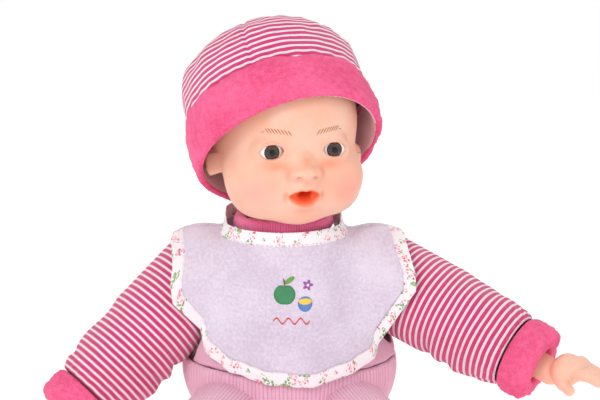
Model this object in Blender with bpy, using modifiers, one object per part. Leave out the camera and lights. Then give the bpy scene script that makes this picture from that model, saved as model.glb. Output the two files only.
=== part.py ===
"""Interactive baby doll, seated, built as an assembly of separate pieces.

The doll faces -Y and sits on the floor plane z = 0, with the origin under its seat. All sizes are in metres.
A cloth body holds a sound module with a belly button to press; the vinyl head, hands and feet turn in the cloth.
"""

import math

import bmesh
import bpy
import numpy as np
from mathutils import Matrix, Vector

# Driving dimensions
CLOTH = 0.0016            # sewn cloth, one layer with its hem
GAP = 0.0006              # between pieces that touch
VINYL = 0.0022            # wall of the vinyl head
NECK = Vector((-0.004, 0.004, 0.0))   # the head turns about the vertical line through this point
NECK_BEND_Z = 0.143
HEAD_CENTRE_Z = 0.2015
HEAD_YAW = math.radians(15.5)   # the head looks towards the doll's left
HAT_TILT = math.radians(42)   # the hat sits back on the head
HAT_ROLL = math.radians(-6)   # and lower on its right side
NECK_SETBACK = 0.006      # the neck axis runs this far behind the middle of the head
SHOULDER = Vector((0.056, 0.004, 0.110))   # the left one; the right one is mirrored
HIP = Vector((0.036, -0.030, 0.0272))
ARM_BALL = 0.030
HIP_BALL = 0.026
ARM_LENGTH = 0.106        # shoulder to the sleeve's hem
LEG_LENGTH = 0.100
YOKE_Z = 0.060            # seam between the bodice and the seat of the romper
CHEST_TOP_Z = 0.1365
EYE = Vector((0.0200, -0.0338, -0.002))    # centre of the left eyeball in the head
EYE_RADIUS = 0.0095
MOUTH = Vector((0.0, -0.046, -0.0300))
MOUTH_BORE = 0.0042
ARM_DIRECTIONS = {"left": Vector((0.80, -0.50, -0.34)), "right": Vector((-0.67, -0.38, -0.64))}
ARM_RANGES = {"left": (-25, 0, 16), "right": (-5, 0, 22)}   # degrees, lowered, at rest and raised
LEG_DIRECTIONS = {"left": Vector((0.28, -0.96, -0.02)), "right": Vector((-0.28, -0.96, -0.02))}
SIDES = {"left": 1, "right": -1}

# The bib: its neckline's upper edge, and how far it reaches down the doll from there in each direction round the neck,
# in degrees from the front over the doll's left shoulder
NECKLINE_RADIUS, NECKLINE_Z = 0.0345, 0.1455
BIB_FALL = {
    0: 0.0940, 11: 0.0957, 22: 0.0943, 32: 0.0921, 42: 0.0892, 50: 0.0876, 55: 0.0835, 58: 0.0745, 61: 0.0630,
    66: 0.0535, 74: 0.0460, 84: 0.0415, 95: 0.0365, 108: 0.0275, 122: 0.0190, 140: 0.0140, 160: 0.0130, 180: 0.0130,
    200: 0.0130, 220: 0.0140, 238: 0.0190, 252: 0.0275, 265: 0.0360, 276: 0.0370, 286: 0.0400, 294: 0.0445,
    300: 0.0520, 304: 0.0640, 308: 0.0755, 312: 0.0797, 320: 0.0832, 330: 0.0871, 340: 0.0900, 350: 0.0933,
}

# The sound module's case
CASE_HALF_X, CASE_FRONT_Y, CASE_BACK_Y = 0.0258, -0.007, 0.019
CASE_LOW_Z, CASE_HIGH_Z = 0.050, 0.120
CASE_WALL = 0.0016
BATTERY_RADIUS, BATTERY_LENGTH, BATTERY_PITCH = 0.0052, 0.0445, 0.0115
BATTERY_Y, BATTERY_LOW_Z = 0.0112, 0.0585
COVER_HALF_X, COVER_LOW_Z, COVER_HIGH_Z = 0.0228, 0.0530, 0.0885
BOARD_Y = 0.0032
BUTTON_Z, SPEAKER_Z = 0.070, 0.103
BUTTON_RADIUS, SPEAKER_RADIUS = 0.0085, 0.0135
SWITCH_X, SWITCH_Z = 0.013, 0.101


def clear_scene():
    for obj in list(bpy.data.objects):
        bpy.data.objects.remove(obj)


clear_scene()
PARTS = bpy.data.collections.new("baby_doll")
CUTTERS = bpy.data.collections.new("cutters")
bpy.context.scene.collection.children.link(PARTS)
bpy.context.scene.collection.children.link(CUTTERS)


def material(name, colour, roughness, metallic=0.0):
    made = bpy.data.materials.new(name)
    made.use_nodes = True
    shader = made.node_tree.nodes["Principled BSDF"]
    shader.inputs["Base Color"].default_value = (*colour, 1.0)
    shader.inputs["Roughness"].default_value = roughness
    shader.inputs["Metallic"].default_value = metallic
    return made


MATERIALS = {
    "vinyl_skin": material("vinyl_skin", (0.90, 0.54, 0.42), 0.45),
    "eye": material("eye", (0.10, 0.06, 0.05), 0.08),
    "pink_fleece": material("pink_fleece", (0.89, 0.08, 0.21), 0.95),
    "striped_jersey": material("striped_jersey", (0.72, 0.19, 0.38), 0.9),
    "pale_jersey": material("pale_jersey", (0.90, 0.48, 0.62), 0.9),
    "bib_cloth": material("bib_cloth", (0.74, 0.62, 0.72), 0.95),
    "bib_binding": material("bib_binding", (0.86, 0.82, 0.84), 0.85),
    "stuffing_cloth": material("stuffing_cloth", (0.80, 0.68, 0.60), 0.95),
    "white_plastic": material("white_plastic", (0.80, 0.79, 0.76), 0.45),
    "black_plastic": material("black_plastic", (0.03, 0.03, 0.03), 0.5),
    "circuit": material("circuit", (0.03, 0.20, 0.08), 0.5),
    "paper_cone": material("paper_cone", (0.06, 0.06, 0.06), 0.9),
    "bright_metal": material("bright_metal", (0.72, 0.72, 0.74), 0.3, 1.0),
    "battery_sleeve": material("battery_sleeve", (0.10, 0.12, 0.30), 0.4),
}


# One empty for each body, on its joint
BODIES = {}


def body(name, pivot, parent=None):
    empty = bpy.data.objects.new("axis_" + name, None)
    PARTS.objects.link(empty)
    empty.location = pivot
    if parent:
        empty.parent = BODIES[parent]
        empty.matrix_parent_inverse = Matrix.Translation(-BODY_PIVOTS[parent])
    BODIES[name] = empty
    BODY_PIVOTS[name] = Vector(pivot)


BODY_PIVOTS = {}


def add(name, mesh, slot, body_name, place=None, cutter=False):
    """Puts a mesh in the scene as one named piece of a body, smooth where it is round."""
    obj = bpy.data.objects.new(name, mesh)
    mesh.shade_smooth()
    mesh.set_sharp_from_angle(angle=math.radians(40))
    if cutter:
        CUTTERS.objects.link(obj)
        obj.hide_render = True
        obj.display_type = "WIRE"
    else:
        PARTS.objects.link(obj)
        mesh.materials.append(MATERIALS[slot])
        obj.parent = BODIES[body_name]
        obj.matrix_parent_inverse = Matrix.Translation(-BODY_PIVOTS[body_name])
    if place is not None:
        obj.matrix_basis = place
    return obj


def mesh_from(bm, name):
    bmesh.ops.recalc_face_normals(bm, faces=bm.faces)
    mesh = bpy.data.meshes.new(name)
    bm.to_mesh(mesh)
    bm.free()
    return mesh


def box_mesh(name, low, high, bevel=0.0):
    bm = bmesh.new()
    bmesh.ops.create_cube(bm, size=1.0)
    low, high = Vector(low), Vector(high)
    size = high - low
    bmesh.ops.scale(bm, vec=size, verts=bm.verts)
    bmesh.ops.translate(bm, vec=(low + high) / 2, verts=bm.verts)
    if bevel:
        upright = [e for e in bm.edges if abs((e.verts[0].co - e.verts[1].co).y) > 0.9 * size.y]
        bmesh.ops.bevel(bm, geom=upright, offset=bevel, segments=2, affect="EDGES")
    return mesh_from(bm, name)


def rod_mesh(name, start, end, radius, end_radius=None, steps=16):
    """A closed cylinder, or a cone when end_radius is given, between two points."""
    start, end = Vector(start), Vector(end)
    bm = bmesh.new()
    bmesh.ops.create_cone(
        bm, cap_ends=True, segments=steps, radius1=radius,
        radius2=radius if end_radius is None else end_radius, depth=(end - start).length,
    )
    turn = (end - start).to_track_quat("Z", "Y").to_matrix().to_4x4()
    bmesh.ops.transform(bm, matrix=Matrix.Translation((start + end) / 2) @ turn, verts=bm.verts)
    return mesh_from(bm, name)


def turned(name, profile, slot, body_name, place=None, steps=16, cutter=False):
    """A closed profile of (radius, height) points turned about local Z by a Screw modifier."""
    area = sum(
        a[0] * b[1] - b[0] * a[1] for a, b in zip(profile, profile[1:] + profile[:1])
    )
    points = profile if area < 0 else profile[::-1]
    on_axis = [i for i, p in enumerate(points) if p[0] == 0.0]
    if on_axis:   # an open line from the top of the axis to its foot
        first = next(i for i in on_axis if points[(i + 1) % len(points)][0] > 0.0)
        points = points[first:] + points[:first]
    bm = bmesh.new()
    made = [bm.verts.new((r, 0.0, z)) for r, z in points]
    for a, b in zip(made, made[1:]):
        bm.edges.new((a, b))
    if not on_axis:
        bm.edges.new((made[-1], made[0]))
    mesh = bpy.data.meshes.new(name)
    bm.to_mesh(mesh)
    bm.free()
    obj = add(name, mesh, slot, body_name, place, cutter)
    screw = obj.modifiers.new("Turn", "SCREW")
    screw.steps = steps
    screw.render_steps = steps
    screw.use_merge_vertices = True
    screw.merge_threshold = 0.00001
    return obj


def combine(obj, other, operation="DIFFERENCE"):
    cut = obj.modifiers.new(other.name, "BOOLEAN")
    cut.operation = operation
    cut.object = other


def along(origin, direction, up=Vector((0, 0, 1))):
    """Local Z runs along the limb and local X is its upper side."""
    z = direction.normalized()
    x = (up - up.dot(z) * z).normalized()
    y = z.cross(x)
    turn = Matrix((x, y, z)).transposed().to_4x4()
    return Matrix.Translation(origin) @ turn


def mirrored(vector, sign):
    return Vector((sign * vector.x, vector.y, vector.z))


# Soft forms: smooth unions of ellipsoids and capsules, met by rays from a centre
def ellipsoid(p, centre, radii):
    q = (p - np.array(centre)) / np.array(radii)
    near = np.linalg.norm(q, axis=-1) + 1e-9
    slope = np.linalg.norm(q / np.array(radii), axis=-1) + 1e-9
    return near * (near - 1.0) / slope


def capsule(p, start, end, radius):
    a, b = np.array(start, float), np.array(end, float)
    share = np.clip(((p - a) @ (b - a)) / np.dot(b - a, b - a), 0.0, 1.0)
    return np.linalg.norm(p - a - share[..., None] * (b - a), axis=-1) - radius


def drum(p, centre, radius, half_height, rounding):
    """An upright cylinder with a rounded rim."""
    q = p - np.array(centre)
    out = np.stack([np.linalg.norm(q[..., :2], axis=-1) - radius + rounding, np.abs(q[..., 2]) - half_height + rounding])
    return np.linalg.norm(np.maximum(out, 0.0), axis=0) + np.minimum(out.max(axis=0), 0.0) - rounding


def blend(distances, softness):
    stack = np.stack(distances)
    least = stack.min(axis=0)
    return least - softness * np.log(np.exp(-(stack - least) / softness).sum(axis=0))


def reach(form, centre, directions, furthest=0.16, steps=160, passes=24):
    """How far each ray from the centre runs before it leaves the form for the last time."""
    centre = np.array(centre, float)
    outer = np.full(len(directions), furthest)
    found = np.zeros(len(directions), bool)
    for t in np.linspace(furthest, 0.0, steps):
        inside = form(centre + directions * t) < 0
        outer = np.where(inside & ~found, t, outer)
        found |= inside
    low, high = outer, outer + furthest / (steps - 1)
    for _ in range(passes):
        middle = (low + high) / 2
        inside = form(centre + directions * middle[:, None]) < 0
        low, high = np.where(inside, middle, low), np.where(inside, high, middle)
    return (low + high) / 2


def head_form(p, nose=True):
    """The vinyl head about its own centre, with a stub below for the neck."""
    tip = [ellipsoid(p, (0, -0.0495, -0.0138), (0.0050, 0.0062, 0.0045))] if nose else []
    stub = (NECK_SETBACK, -0.028), (NECK_SETBACK, -0.0325)
    return blend(
        [
            capsule(p, (0, *stub[0]), (0, *stub[1]), 0.0225),
            ellipsoid(p, (0, 0.010, 0.010), (0.0480, 0.0520, 0.0470)),
            ellipsoid(p, (0, -0.012, 0.018), (0.0370, 0.0330, 0.0300)),
            ellipsoid(p, (0, -0.008, -0.016), (0.0420, 0.0380, 0.0340)),
            ellipsoid(p, (0.023, -0.022, -0.022), (0.0200, 0.0195, 0.0185)),
            ellipsoid(p, (-0.023, -0.022, -0.022), (0.0200, 0.0195, 0.0185)),
            ellipsoid(p, (0, -0.030, -0.0375), (0.0150, 0.0125, 0.0110)),
        ]
        + tip,
        0.0030,
    )


def torso_form(p, ease=0.0):
    """The dressed torso; a negative ease gives the cloth body under the romper."""
    return blend(
        [
            ellipsoid(p, (0, -0.004, 0.052), (0.070, 0.054, 0.060)),
            ellipsoid(p, (0, 0.000, 0.098), (0.057, 0.040, 0.044)),
            ellipsoid(p, (-0.002, 0.004, 0.1235), (0.042, 0.039, 0.022)),
        ],
        0.004,
    ) - ease


def arm_directions(side):
    """The arm's direction at each end of its range and at rest."""
    direction = ARM_DIRECTIONS[side].normalized()
    axis = direction.cross(Vector((0, 0, 1))).normalized()
    return [Matrix.Rotation(math.radians(a), 3, axis) @ direction for a in ARM_RANGES[side]]


def sleeves_form(p, side, sign):
    """The outer side of a sleeve over the shoulder's range."""
    pivot = mirrored(SHOULDER, sign)
    swept = [capsule(p, pivot, pivot + d * ARM_LENGTH, ARM_BALL) for d in arm_directions(side)]
    return np.min(swept, axis=0)


def swelled_sphere(name, form, centre, segments, rings, floor=None):
    """A UV sphere whose points are moved out to the form, and flat where it meets the floor."""
    bm = bmesh.new()
    bmesh.ops.create_uvsphere(bm, u_segments=segments, v_segments=rings, radius=1.0)
    directions = np.array([v.co.normalized() for v in bm.verts])
    points = np.array(centre) + directions * reach(form, centre, directions)[:, None]
    if floor is not None:
        points[:, 2] = np.maximum(points[:, 2], floor)
        bottom = directions[:, 2] < -0.999
        points[bottom, 2] = floor
    for vert, point in zip(bm.verts, points):
        vert.co = point
    bmesh.ops.triangulate(bm, faces=bm.faces)
    return mesh_from(bm, name)


def sheet_of(name, points, thickness):
    """A closed sheet of cloth over a grid of points, closed round in its first direction."""
    rows, columns = len(points), len(points[0])
    bm = bmesh.new()
    verts = [[bm.verts.new(p) for p in row] for row in points]
    for i in range(rows):
        for j in range(columns - 1):
            below = verts[(i + 1) % rows]
            bm.faces.new((verts[i][j], below[j], below[j + 1], verts[i][j + 1]))
    mesh = mesh_from(bm, name)
    centre = sum((f.center for f in mesh.polygons), Vector()) / len(mesh.polygons)
    outward = sum(f.normal.dot(f.center - centre) * f.area for f in mesh.polygons)
    if outward < 0:
        mesh.flip_normals()
    obj_thickness = thickness
    return mesh, obj_thickness


def solidify(obj, thickness, offset):
    modifier = obj.modifiers.new("Thickness", "SOLIDIFY")
    modifier.thickness = thickness
    modifier.offset = offset
    modifier.use_even_offset = False


def torso():
    """The cloth body, the romper's bodice and seat, and the collar."""
    centre = (0, -0.002, 0.070)
    filling = add(
        "cloth_body",
        swelled_sphere("cloth_body", lambda p: torso_form(p, -0.0045), centre, 20, 12, floor=0.003),
        "stuffing_cloth", "torso",
    )
    pocket = add(
        "pocket_cutter",
        box_mesh("pocket_cutter", (-CASE_HALF_X - 0.001, CASE_FRONT_Y - 0.0015, CASE_LOW_Z - 0.001),
                 (CASE_HALF_X + 0.001, 0.08, CASE_HIGH_Z + 0.001)),
        None, None, cutter=True,
    )
    button_room = add(
        "button_room_cutter",
        box_mesh("button_room_cutter", (-0.0120, -0.0215, BUTTON_Z - 0.012), (0.0120, 0.0, BUTTON_Z + 0.012)),
        None, None, cutter=True,
    )
    channel = add(
        "channel_cutter",
        rod_mesh("channel_cutter", NECK + Vector((0, 0, 0.110)), NECK + Vector((0, 0, 0.160)), 0.0043, steps=7),
        None, None, cutter=True,
    )
    top = add(
        "neckline_cutter",
        box_mesh("neckline_cutter", (-0.2, -0.2, CHEST_TOP_Z), (0.2, 0.2, 0.3)),
        None, None, cutter=True,
    )
    flap_hole = add(
        "flap_cutter",
        box_mesh("flap_cutter", (-0.030, 0.02, YOKE_Z + 0.006), (0.030, 0.10, 0.112)),
        None, None, cutter=True,
    )
    for cutter in (pocket, button_room, channel, top):
        combine(filling, cutter)
    limb_room = []
    for side, sign in SIDES.items():
        limb_room.append(armhole_cutter(side, sign))
        limb_room.extend(leg_room_cutters(side, sign))
    bodice = romper_part("romper_bodice", YOKE_Z + GAP / 2, CHEST_TOP_Z, 6)
    combine(bodice, flap_hole)
    seat = romper_part("romper_seat", 0.0, YOKE_Z - GAP / 2, 5, closed_foot=True)
    for cutter in limb_room:
        combine(filling, cutter)
        if cutter.name.startswith("armhole"):
            combine(bodice, cutter)
        combine(seat, cutter)
    collar = [(0.0290, 0.1412), (0.0318, 0.1432), (0.0324, 0.1478), (0.0306, 0.1512),
              (0.0272, 0.1514), (0.0252, 0.1486), (0.0256, 0.1412)]
    turned("collar_band", collar, "pink_fleece", "neck", Matrix.Translation(NECK), 20)


def romper_part(name, low, high, rows, closed_foot=False):
    """A band of the romper between two heights, as a shell of cloth."""
    columns = 24
    if closed_foot:
        heights = [high - (high - low) * math.sin(math.pi / 2 * i / rows) for i in range(rows)]
        heights.append(low)
    else:
        heights = [high + (low - high) * i / rows for i in range(rows + 1)]
    rings = []
    for z in heights:
        angles = np.arange(columns) * 2 * math.pi / columns
        directions = np.stack([np.cos(angles), np.sin(angles), np.zeros(columns)], axis=1)
        rings.append((0, -0.002, z) + directions * reach(torso_form, (0, -0.002, z), directions)[:, None])
    bm = bmesh.new()
    verts = [[bm.verts.new(p) for p in ring] for ring in rings]
    for upper, lower in zip(verts, verts[1:]):
        for j in range(columns):
            k = (j + 1) % columns
            bm.faces.new((upper[k], upper[j], lower[j], lower[k]))
    if closed_foot:
        bm.faces.new(verts[-1])
    mesh = mesh_from(bm, name)
    obj = add(name, mesh, "pale_jersey", "torso")
    solidify(obj, CLOTH, -1)
    if mesh.polygons[0].normal.dot(mesh.polygons[0].center - Vector((0, 0, mesh.polygons[0].center.z))) < 0:
        mesh.flip_normals()
    return obj


def armhole_cutter(side, sign):
    """The room that the sleeve needs between its lowered and raised positions."""
    pivot = mirrored(SHOULDER, sign)
    ball = bmesh.new()
    bmesh.ops.create_uvsphere(ball, u_segments=14, v_segments=9, radius=ARM_BALL + 0.0018)
    bm = bmesh.new()
    for centre in [pivot] + [pivot + d * 0.08 for d in arm_directions(side)]:
        for vert in ball.verts:
            bm.verts.new(vert.co + centre)
    ball.free()
    bmesh.ops.convex_hull(bm, input=bm.verts)
    bmesh.ops.delete(bm, geom=[v for v in bm.verts if not v.link_faces], context="VERTS")
    return add("armhole_cutter_" + side, mesh_from(bm, "armhole"), None, None, cutter=True)


def leg_room_cutters(side, sign):
    """The hip's ball, and the sector that the leg sweeps in front of it and below it."""
    hip = mirrored(HIP, sign)
    room = HIP_BALL + 0.0013
    bm = bmesh.new()
    bmesh.ops.create_uvsphere(bm, u_segments=20, v_segments=14, radius=room)
    bmesh.ops.translate(bm, vec=hip, verts=bm.verts)
    ball = add("hip_cutter_" + side, mesh_from(bm, "hip_room"), None, None, cutter=True)
    outward = LEG_DIRECTIONS[side].normalized()
    plan = Matrix.Translation(hip) @ along((0, 0, 0), Vector((outward.x, outward.y, 0)))
    # Local Z points forward along the leg and local X points up.
    side_room = room + 0.0004
    sector = [(-0.07, -side_room), (-0.07, 0.16), (side_room, 0.16), (side_room, 0.0), (0.0, -side_room)]
    bm = bmesh.new()
    faces = []
    for y in (-side_room, side_room):
        faces.append([bm.verts.new((x, y, z)) for x, z in sector])
    bm.faces.new(faces[0])
    bm.faces.new(faces[1][::-1])
    for i in range(len(sector)):
        j = (i + 1) % len(sector)
        bm.faces.new((faces[0][i], faces[0][j], faces[1][j], faces[1][i]))
    sweep = add("leg_cutter_" + side, mesh_from(bm, "leg_room"), None, None, plan, cutter=True)
    return [ball, sweep]


def back_flap():
    """The cloth flap at the back that covers the sound module's pocket."""
    columns, rows = 6, 5
    xs = np.linspace(-0.034, 0.034, columns + 1)
    zs = np.linspace(YOKE_Z + 0.001, 0.1155, rows + 1)
    bm = bmesh.new()
    verts = []
    for z in zs:
        start = np.array([(x, 0.0, z) for x in xs])
        away = np.tile((0.0, 1.0, 0.0), (len(xs), 1))
        out = np.array([reach(torso_form, s, a[None])[0] for s, a in zip(start, away)])
        verts.append([bm.verts.new((x, y + GAP + 0.0006, z)) for x, y in zip(xs, out)])
    for low, high in zip(verts, verts[1:]):
        for j in range(columns):
            bm.faces.new((low[j], low[j + 1], high[j + 1], high[j]))
    mesh = mesh_from(bm, "back_flap")
    if mesh.polygons[0].normal.y < 0:
        mesh.flip_normals()
    solidify(add("back_flap", mesh, "pale_jersey", "back_flap"), CLOTH, 1)


def neckline_rise(degrees):
    """How much higher the bib's neckline runs beside the neck than in front and behind."""
    away = abs((degrees + 180) % 360 - 180)
    up, down = (min(max(t, 0.0), 1.0) for t in ((away - 70) / 24, (away - 112) / 28))
    return 0.0080 * (up * up * (3 - 2 * up) - down * down * (3 - 2 * down))


def bib():
    """A round bib draped from the neck over the chest and shoulders: panel, two bindings and the back tab."""
    def under(p):
        forms = [torso_form(p)] + [sleeves_form(p, side, sign) for side, sign in SIDES.items()]
        collar = drum(p, (NECK.x, NECK.y, 0.128), NECKLINE_RADIUS, NECKLINE_Z - 0.128 + 0.012, 0.003)
        return blend(forms + [collar], 0.0030) - 0.0022

    centre = np.array((NECK.x, NECK.y, 0.098))
    steps, binding = 140, 0.0092
    lines = []
    for degrees, fall in BIB_FALL.items():
        angle = math.radians(degrees)
        out = np.array((math.sin(angle), -math.cos(angle), 0.0))
        tilt = np.linspace(0.50, 2.35, steps)
        rays = np.sin(tilt)[:, None] * out + np.cos(tilt)[:, None] * np.array((0, 0, 1.0))
        line = centre + rays * reach(under, centre, rays)[:, None]
        away = np.linalg.norm((line - centre)[:, :2], axis=1)
        first = int(np.argmax((away > 0.020) & (line[:, 2] < NECKLINE_Z + neckline_rise(degrees))))
        line = line[first:]
        length = np.concatenate([[0], np.cumsum(np.linalg.norm(np.diff(line, axis=0), axis=1))])
        lines.append((line, length, fall + neckline_rise(degrees)))

    def band(low, high, rows, lift):
        """Points between two distances down the bib; a negative distance counts from its outer edge."""
        grid = []
        for line, length, fall in lines:
            start = low if low >= 0 else fall + low
            end = high if high > 0 else fall + high
            row = []
            for s in np.linspace(start, max(end, start + 0.0015), rows + 1):
                point = np.array([np.interp(s, length, line[:, k]) for k in range(3)])
                away = (point - centre) / np.linalg.norm(point - centre)
                row.append(point + away * lift)
            grid.append(row)
        return grid

    pieces = (
        ("bib_neck_binding", band(-0.0, binding, 2, 0.0), "bib_binding"),
        ("bib_panel", band(binding + 0.0018, -binding - 0.001, 6, 0.0), "bib_cloth"),
        ("bib_edge_binding", band(-binding, 0.0, 2, 0.0), "bib_binding"),
    )
    for name, grid, slot in pieces:
        if name != "bib_neck_binding":
            # Behind the neck the bib is the neck binding alone.
            keep = [i for i, (_, _, fall) in enumerate(lines) if fall - 2 * binding > 0.004]
            half = len(keep) // 2
            split = next(i for i in range(1, len(keep)) if keep[i] - keep[i - 1] > 1)
            order = keep[split:] + keep[:split]
            strip_mesh(name, [grid[i] for i in order], slot)
            continue
        mesh, _ = sheet_of(name, grid, CLOTH)
        solidify(add(name, mesh, slot, "torso"), 0.0014, 1)


def strip_mesh(name, grid, slot):
    """An open strip of cloth over rows of points."""
    bm = bmesh.new()
    verts = [[bm.verts.new(p) for p in row] for row in grid]
    for a, b in zip(verts, verts[1:]):
        for j in range(len(a) - 1):
            bm.faces.new((a[j], b[j], b[j + 1], a[j + 1]))
    mesh = mesh_from(bm, name)
    middle = mesh.polygons[len(mesh.polygons) // 2]
    if middle.normal.dot(middle.center - Vector((0, 0, 0.098))) < 0:
        mesh.flip_normals()
    solidify(add(name, mesh, slot, "torso"), 0.0014, 1)


def hand_or_foot(name, lumps, slot, body_name, place, finish=0.0017, share=0.16):
    """A vinyl hand or foot: capsules joined into one soft skin. A lump is (start, end, radius)."""
    bm = bmesh.new()
    for start, end, radius in lumps:
        start, end = Vector(start), Vector(end)
        for centre in (start, end):
            ball = bmesh.ops.create_uvsphere(bm, u_segments=12, v_segments=8, radius=radius)
            bmesh.ops.translate(bm, vec=centre, verts=ball["verts"])
        if (end - start).length > radius * 0.2:
            rod = bmesh.ops.create_cone(bm, cap_ends=True, segments=12, radius1=radius,
                                        radius2=radius, depth=(end - start).length)
            turn = (end - start).to_track_quat("Z", "Y").to_matrix().to_4x4()
            bmesh.ops.transform(bm, matrix=Matrix.Translation((start + end) / 2) @ turn,
                                verts=rod["verts"])
    obj = add(name, mesh_from(bm, name), slot, body_name, place)
    skin = obj.modifiers.new("Skin", "REMESH")
    skin.mode = "VOXEL"
    skin.voxel_size = finish
    fewer = obj.modifiers.new("Fewer", "DECIMATE")
    fewer.ratio = share
    return obj


def bent(point, start, angle, sign):
    """A point of a hand or foot after the wrist or ankle bends by an angle towards local +X."""
    x, y, z = point
    c, s = math.cos(angle), math.sin(angle)
    return (x * c + z * s, y * sign, start - x * s + z * c)


def arm(side, sign):
    pivot = mirrored(SHOULDER, sign)
    place = along(pivot, ARM_DIRECTIONS[side])
    name = "arm_" + side
    outer = [(0.0268, -0.013), (0.0290, -0.0070), (0.0300, 0.0), (0.0298, 0.040), (0.0280, 0.075),
             (0.0238, ARM_LENGTH)]
    inner = [(r - CLOTH, z) for r, z in outer]
    turned("sleeve_" + side, outer + inner[::-1], "striped_jersey", name, place, 14)
    filling = [(0, -0.0255), (0.016, -0.0205), (0.0250, -0.006), (0.0264, 0.004), (0.0256, 0.045),
               (0.0205, 0.082), (0.0140, 0.0895), (0, 0.0895)]
    turned("arm_filling_" + side, filling, "stuffing_cloth", name, place, 14)
    start = ARM_LENGTH + GAP
    cuff = [(0.0108, start), (0.0220, start), (0.0243, start + 0.004), (0.0244, start + 0.012),
            (0.0222, start + 0.018), (0.0170, start + 0.020), (0.0116, start + 0.0185)]
    turned("sleeve_cuff_" + side, cuff, "pink_fleece", name, place, 14)
    wrist = ARM_LENGTH + 0.022
    bend = math.radians(24 if side == "left" else 20)
    lumps = [((0, 0, ARM_LENGTH - 0.0045), (0, 0, wrist + 0.004), 0.0085)]
    palm = [((0.0005, -0.003, 0.014), (0.0005, 0.004, 0.015), 0.0095),
            ((0.0015, -0.0045, 0.021), (0.0015, 0.0040, 0.021), 0.0072)]
    fingers = [((0.001, y, 0.024), (-0.001 - 0.0045 * curl, y * 1.25, 0.024 + reach_out), 0.0036)
               for y, curl, reach_out in ((0.0085, 0.2, 0.0145), (0.0030, 0.8, 0.0150),
                                          (-0.0028, 1.2, 0.0135), (-0.0082, 1.5, 0.0105))]
    thumb = [((-0.002, 0.009, 0.012), (-0.0075, 0.0145, 0.021), 0.0040)]
    for a, b, radius in palm + fingers + thumb:
        lumps.append((bent(a, wrist, bend, sign), bent(b, wrist, bend, sign), radius))
    hand_or_foot("hand_" + side, lumps, "vinyl_skin", "hand_" + side, place)


def leg(side, sign):
    hip = mirrored(HIP, sign)
    place = along(hip, LEG_DIRECTIONS[side])
    name = "leg_" + side
    outer = [(0.0218, -0.0140), (0.0250, -0.0070), (HIP_BALL, 0.0), (0.0258, 0.035), (0.0250, 0.070),
             (0.0236, LEG_LENGTH)]
    inner = [(r - CLOTH, z) for r, z in outer]
    turned("trouser_leg_" + side, outer + inner[::-1], "pale_jersey", name, place, 14)
    filling = [(0, -0.0215), (0.0150, -0.0158), (0.0218, -0.004), (0.0226, 0.004), (0.0218, 0.045),
               (0.0180, 0.076), (0.0120, 0.0820), (0, 0.0820)]
    turned("leg_filling_" + side, filling, "stuffing_cloth", name, place, 14)
    start = LEG_LENGTH + GAP
    cuff = [(0.0142, start), (0.0228, start), (0.0246, start + 0.004), (0.0246, start + 0.011),
            (0.0226, start + 0.016), (0.0185, start + 0.018), (0.0148, start + 0.0165)]
    turned("ankle_cuff_" + side, cuff, "pink_fleece", name, place, 14)
    ankle = LEG_LENGTH + 0.029
    lumps = [((0, 0, LEG_LENGTH - 0.003), (0, 0, ankle), 0.0118),
             ((-0.0085, 0, ankle + 0.006), (0.012, 0, ankle + 0.009), 0.0128),
             ((0.012, 0.001 * sign, ankle + 0.009), (0.026, 0.0015 * sign, ankle + 0.008), 0.0118),
             ((0.026, -0.006, ankle + 0.008), (0.026, 0.006, ankle + 0.008), 0.0085)]
    for i, radius in enumerate((0.0048, 0.0039, 0.0037, 0.0034, 0.0031)):
        y = (0.0105 - 0.0054 * i) * -sign
        lumps.append(((0.029, y, ankle + 0.005), (0.0365 - 0.0011 * i, y, ankle + 0.004), radius))
    hand_or_foot("foot_" + side, lumps, "vinyl_skin", "foot_" + side, place, 0.0020, 0.16)


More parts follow.
